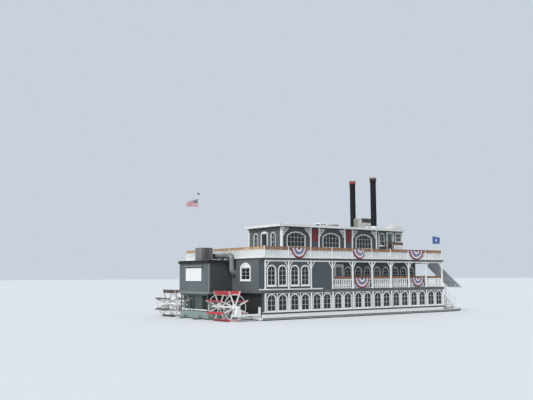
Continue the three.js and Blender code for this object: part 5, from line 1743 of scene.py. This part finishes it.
for k in range(5):
    a = math.radians(22.5 * k)
    along, up = math.sin(a), math.cos(a)
    duct_band(-13.90 + 0.34 * along, -0.96 + 0.34 * up, 6.33, (0, quarter, -a))
    duct_band(-13.56, -2.70 - 0.38 * along, 5.95 + 0.38 * up, (quarter + a, 0, 0))
    duct_band(-13.26 - 0.30 * up, -3.08, 5.15 - 0.30 * along, (0, -a, 0))
duct_band(-13.56, -1.83, 6.33, (quarter, 0, 0))
duct_parts.append(bar((-13.25, -3.34, 4.59), (-13.222, -2.82, 5.11), 0.006))
together(duct_parts, "annex_duct", duct_zinc, slot="galvanised_steel")
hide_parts("annex_air_unit")
sleepers = [bar((-13.86, y - 0.07, 5.942), (-13.30, y + 0.07, 6.09), 0.012) for y in (-1.35, -2.35)]
together(sleepers, "duct_sleepers", cabinet_white, slot="white_paint")


# Foredeck gear: two pairs of iron bitts and two cleats, bolted to the deck
BITT = (
    *((0.10, 1.052), (0.10, 1.08), (0.065, 1.10), (0.06, 1.46)),
    *((0.085, 1.49), (0.09, 1.54), (0.06, 1.575), (0.01, 1.58)),
)
gear = []
for s in (-1, 1):
    gear += [turned(x, s * 2.6, BITT, 20) for x in (14.05, 14.35)]
    gear.append(bar((13.9, s * 2.6 - 0.14, 1.051), (14.5, s * 2.6 + 0.14, 1.075), 0.006))
    gear.append(rod((13.93, s * 2.6, 1.36), (14.47, s * 2.6, 1.36), 0.03, 12))
    gear.append(bar((13.75, s * 4.6 - 0.05, 1.051), (14.05, s * 4.6 + 0.05, 1.08), 0.006))
    gear += [rod((x, s * 4.6, 1.07), (x, s * 4.6, 1.16), 0.022, 10) for x in (13.84, 13.96)]
    gear.append(rod((13.70, s * 4.6, 1.17), (14.10, s * 4.6, 1.17), 0.022, 10, 0.008))
together(gear, "foredeck_gear", cast_iron, slot="dark_metal")


# Flags: printed bunting cloth on a white staff astern and a short one forward. Each hangs
# from its hoist with long folds and droops towards the fly.
def hang(cloth, name, material, stands_for=None, thick=0.003):
    """Names a cloth, gives it its thickness and finish, and sets it riding on the boat."""
    cloth.name = name
    finish_with(cloth, "SOLIDIFY", thickness=thick)
    bpy.ops.object.shade_smooth()
    cloth.data.materials.append(material)
    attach(cloth, "boat")
    if stands_for:
        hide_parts(stands_for)


def flag(hoist, way, length, height, top, droop, lift):
    """A flag whose hoist stands at a point. way is the level direction of its fly."""
    bpy.ops.mesh.primitive_grid_add(x_subdivisions=44, y_subdivisions=24, size=1)
    cloth = bpy.context.object
    along = Vector((way[0], way[1], 0)).normalized()
    across = Vector((-along.y, along.x, 0))
    for vertex in cloth.data.vertices:
        u, v = vertex.co.x + 0.5, vertex.co.y + 0.5
        swing = 0.075 * u**0.7 * math.sin(8.5 * u + 1.6 * v + 0.4) + 0.03 * u * math.sin(19 * u - 3 * v)
        level = top - (1 - v) * height * (1 - lift * u)
        vertex.co = Vector((*hoist, 0)) + along * length * (0.93 * u) + across * swing
        vertex.co.z = level - droop * u**1.4
    return cloth


def cloth_finish(name, sheen=0.2):
    """Woven cloth: its material, its place, the wires of U and V, and its shader."""
    material, place, shader = new_finish(name)
    uv = place.node("TexCoord", output="UV")
    weave = uv.math("SINE", axis(uv, "X") * 900.0)
    relief = (place.noise(7.0, 4.0) + weave * 0.05).bump(0.2, 0.004)
    feed(shader, Sheen_Weight=sheen, Normal=relief)
    return material, place, axis(uv, "X"), axis(uv, "Y"), shader


ensign_cloth, place, u, v, shader = cloth_finish("ensign_cloth")
FLAG_RED, FLAG_WHITE, FLAG_BLUE = (0.36, 0.06, 0.08), (0.50, 0.45, 0.48), (0.04, 0.05, 0.10)
stripe = ((v * 6.5) % 1.0) > 0.5
ground = constant(place, FLAG_RED).blend(stripe, FLAG_WHITE)
in_canton = (u < 0.4) * (v > 0.4615)
star_u = ((u * 15.0) % 1.0 - 0.5).absolute()
star_v = ((v * 13.0 - 6.0) / 1.4 % 1.0 - 0.5).absolute()
star = (star_u * star_u + star_v * star_v) < 0.07
ground = ground.blend(in_canton, FLAG_BLUE).blend(in_canton * star, FLAG_WHITE)
sun_bleached = place.noise(1.5, 4.0).ramp(0.4, 0.7) * 0.2
feed(
    shader,
    Base_Color=ground.blend(sun_bleached, (0.6, 0.5, 0.5)),
    Roughness=place.noise(5.0) * 0.1 + 0.75,
)
ensign = flag((-14.816, 0.702), (-0.60, 0.80), 1.34, 0.74, 11.62, 0.30, 0.55)
hang(ensign, "ensign", ensign_cloth, stands_for="ensign_flag")

jack_cloth, place, u, v, shader = cloth_finish("jack_cloth")
from_middle_u, from_middle_v = (u - 0.5) * 1.4, v - 0.5
emblem = (from_middle_u * from_middle_u + from_middle_v * from_middle_v) < 0.03
ground = constant(place, (0.045, 0.10, 0.30)).blend(emblem, (0.62, 0.66, 0.74))
feed(
    shader,
    Base_Color=ground.blend(place.noise(1.5, 4.0).ramp(0.4, 0.7) * 0.3, (0.16, 0.24, 0.45)),
    Roughness=place.noise(5.0) * 0.1 + 0.75,
)
jack = flag((9.795, -5.645), (0.94, -0.35), 0.92, 0.80, 8.60, 0.12, 0.15)
hang(jack, "jack", jack_cloth, stands_for="jack_flag")

staff_paint, place, shader = new_finish("staff_paint")
ball = axis(place, "Z") > 12.03
feed(
    shader,
    Base_Color=constant(place, (0.66, 0.66, 0.64))
    .blend(weathering(place, 0.5), SOIL)
    .blend(ball, (0.10, 0.11, 0.12)),
    Roughness=place.noise(6.0) * 0.2 + 0.4,
)
dress(["ensign_staff", "jack_staff"], staff_paint)


# Bunting fans: half-round pleated cloth, gathered at the middle of its straight edge and
# tied to the rails. Bands run round it from a dark red rim to a small red centre.
bunting_cloth, place, u, v, shader = cloth_finish("bunting_cloth", sheen=0.15)
star_u = ((u * 7.0) % 1.0 - 0.5) * 0.75
star_v = (v - 0.52) * 3.2
stars = (star_u * star_u + star_v * star_v) < 0.028
bands = constant(place, (0.16, 0.012, 0.03))
for band, colour in (
    (v > 0.14, (0.72, 0.70, 0.72)),
    (v > 0.36, (0.03, 0.045, 0.16)),
    ((v > 0.36) * stars, (0.74, 0.73, 0.76)),
    (v > 0.64, (0.76, 0.68, 0.70)),
    (v > 0.82, (0.22, 0.012, 0.03)),
):
    bands = bands.blend(band, colour)
feed(
    shader,
    Base_Color=bands.blend(place.noise(2.2, 4.0).ramp(0.4, 0.7) * 0.15, (0.5, 0.45, 0.45)),
    Roughness=place.noise(6.0) * 0.1 + 0.7,
)


def fan(name, x0, x1, top, drop, slipped=0.0):
    """A fan on the starboard rail and its twin to port. slipped bunches up the forward half."""
    middle, reach = (x0 + x1) / 2, (x1 - x0) / 2
    pleats = 17
    for side, s in (("starboard", -1), ("port", 1)):
        bpy.ops.mesh.primitive_grid_add(x_subdivisions=pleats * 4, y_subdivisions=12, size=1)
        cloth = bpy.context.object
        for vertex in cloth.data.vertices:
            u, v = vertex.co.x + 0.5, vertex.co.y + 0.5
            angle = math.pi * u
            from_bow = angle if s < 0 else math.pi - angle
            radius = (0.05 + 0.95 * v) * (1 - slipped * (1 - min(1, max(0, (from_bow - 0.7) / 1.0))))
            pleat = 0.032 * math.sin(2 * math.pi * pleats * u) * radius
            sag = 0.03 * math.sin(math.pi * u) * v
            vertex.co = (
                middle + s * -reach * radius * math.cos(angle),
                s * (6.815 + pleat),
                top - (drop * radius + sag) * math.sin(angle),
            )
        editing(cloth)
        face_out()
        done()
        hang(cloth, f"{name}_{side}", bunting_cloth)


fan("bunting_aft", -9.83, -8.11, 6.98, 0.88)
fan("bunting_middle", -2.62, -0.52, 6.98, 0.92, 0.5)
fan("bunting_forward", 5.0, 7.02, 6.98, 0.90)
fan("bunting_low_middle", -2.43, -0.55, 4.30, 0.90)
fan("bunting_low_forward", 5.3, 6.98, 4.30, 0.86)


# Bow stairs: two steel stairs from the foredeck to the promenade gates, with channel
# stringers, treads of chequered plate and pipe handrails, and a pipe header above each.
STAIR_FOOT, RISE, GOING = 12.9, 2.3 / 11, 0.29
FOREDECK_Z = 1.05


def nosing(x):
    """The height of the line of the nosings at x."""
    return FOREDECK_Z + RISE + (STAIR_FOOT - x) * RISE / GOING


def down_the_stair(y, over, radius):
    """A pipe along the stair, a height over the nosings."""
    return rod((10.06, y, nosing(10.06) + over), (13.04, y, nosing(13.04) + over), radius, 14)


steel = [bar((10.0105, -5.83, 3.115), (10.045, 5.83, 3.338), 0.004)]
treads = []
for s in (-1, 1):
    for y in (s * 4.475, s * 5.825):
        # The web of the channel, then its two flanges
        for below, wide, deep in ((0.095, 0.25, 0.012), (-0.045, 0.014, 0.048), (0.235, 0.014, 0.048)):
            start, end = (10.10, y, nosing(10.10) - below), (12.80, y, nosing(12.80) - below)
            steel.append(slanting(start, end, wide, deep))
        steel.append(bar((12.70, y - 0.024, 1.06), (12.88, y + 0.024, 1.22), 0.006))
        steel.append(bar((12.62, y - 0.06, 1.0505), (12.98, y + 0.06, 1.068), 0.004))
        steel += [down_the_stair(y, 0.88, 0.022), down_the_stair(y, 0.45, 0.014)]
        for x in (10.08, 11.06, 12.04, 12.82):
            steel.append(rod((x, y, nosing(x) - 0.06), (x, y, nosing(x) + 0.88), 0.019, 14))
        steel.append(rod((13.05, y, 1.052), (13.05, y, 3.70), 0.029, 18))
        steel.append(rod((13.05, y, 1.051), (13.05, y, 1.068), 0.075, 18, 0.003))
        for x, across in ((12.66, y + 0.035), (12.94, y - 0.035)):
            steel.append(rod((x, across, 1.06), (x, across, 1.078), 0.011, 6))
    steel.append(rod((13.05, s * 4.26, 3.69), (13.05, s * 6.04, 3.69), 0.032, 18, 0.006))
    for k in range(1, 11):
        x, z = STAIR_FOOT - k * GOING, FOREDECK_Z + k * RISE
        y0, y1 = sorted((s * 4.485, s * 5.815))
        treads.append(bar((max(x, 10.03), y0, z - 0.03), (x + 0.30, y1, z), 0.003))
        steel.append(bar((x + 0.285, y0, z - 0.042), (x + 0.312, y1, z + 0.002), 0.004))
plate_grey, place, shader = new_finish("plate_grey")
x, y = axis(place, "X"), axis(place, "Y")
weave = (place.math("SINE", (x + y) * 200.0) * place.math("SINE", (x - y) * 200.0)).ramp(0.25, 0.6)
trodden = ((y.absolute() - STAIR_Y).absolute() * -2.0 + 0.8) * place.noise(3.0, 4.0)
feed(
    shader,
    Base_Color=constant(place, (0.10, 0.11, 0.115)).blend(trodden.ramp(0.2, 0.5) * 0.6, (0.25, 0.25, 0.24)),
    Roughness=trodden * 0.2 + 0.5,
    Normal=weave.bump(0.5, 0.004),
)
steel = together(steel, "bow_stair_frames", trim_white, slot="white_paint")
together(treads, "bow_stair_treads", plate_grey, slot="deck_paint")
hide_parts("bow_stairs")


# Bow canopies: grey canvas hung from a ledger under the third deck, drawn over the header
# of each stair to a loose lip, with a webbing hem round the edges
canvas_grey, place, shader = new_finish("canvas_grey")
x, y = axis(place, "X"), axis(place, "Y").absolute()
hem = (y > 6.02) + (y < 4.28) + (x > 13.68)
seam = x.joints(1.25, 0.488, 0.494)
blotch = place.noise(0.9, 5.0, (0.6, 1.5, 1.0)).ramp(0.4, 0.7)
fine = place.noise(160.0, 2.0)
# The cloth is a light grey, partly its own colour and partly painted light: lightened for sun showing
# through the canvas, as only its shaded underside is seen.
cloth = constant(place, (0.60, 0.61, 0.64)).blend(blotch * 0.45, (0.42, 0.43, 0.46))
cloth = cloth.blend(seam * 0.3, (0.3, 0.31, 0.33))
feed(
    shader,
    Base_Color=cloth.blend(hem.ramp(0.3, 0.6), (0.86, 0.88, 0.87)),
    Roughness=blotch * 0.1 + 0.72,
    Normal=(place.noise(2.0, 5.0) + fine * 0.05 + seam * 0.4).bump(0.3, 0.01),
)
ledger = [bar((9.952, -6.1, 5.77), (10.052, 6.1, 5.915), 0.008)]
ledger += [rod((10.05, y / 20, 5.84), (10.062, y / 20, 5.84), 0.014, 6) for y in range(-118, 119, 12)]
ledger = together(ledger, "canopy_ledger", trim_white, slot="white_paint")
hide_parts("bow_canopies")
# Where the cloth leaves the ledger, crosses the header and ends, and how much of it lies
# before the header
CANOPY_TOP, CANOPY_BEND, CANOPY_TIP = (10.056, 5.80), (13.05, 3.728), (13.79, 3.235)
CANOPY_HALF, CANOPY_SHARE = 0.95, 0.8
for side, s in (("starboard", -1), ("port", 1)):
    bpy.ops.mesh.primitive_grid_add(x_subdivisions=40, y_subdivisions=20, size=1)
    canopy = bpy.context.object
    for vertex in canopy.data.vertices:
        u, w = vertex.co.x + 0.5, vertex.co.y * 2
        if u < CANOPY_SHARE:
            (x0, z0), (x1, z1) = CANOPY_TOP, CANOPY_BEND
            t = u / CANOPY_SHARE
            belly = (0.035 + 0.05 * (1 - w * w)) * math.sin(math.pi * t)
        else:
            (x0, z0), (x1, z1) = CANOPY_BEND, CANOPY_TIP
            t = (u - CANOPY_SHARE) / (1 - CANOPY_SHARE)
            belly = 0.015 * t * math.sin(9 * w)
        vertex.co = (
            x0 + t * (x1 - x0),
            s * (STAIR_Y + w * (CANOPY_HALF - 0.03 * math.sin(math.pi * u))),
            z0 + t * (z1 - z0) - belly + 0.008 * math.sin(math.pi * t) * math.sin(14 * w + 5 * t),
        )
    editing(canopy)
    face_out()
    done()
    name, hung_on = f"canopy_canvas_{side}", ["bow_stair_frames", "canopy_ledger"]
    hang(canopy, name, canvas_grey, "bow_canopies", 0.004)
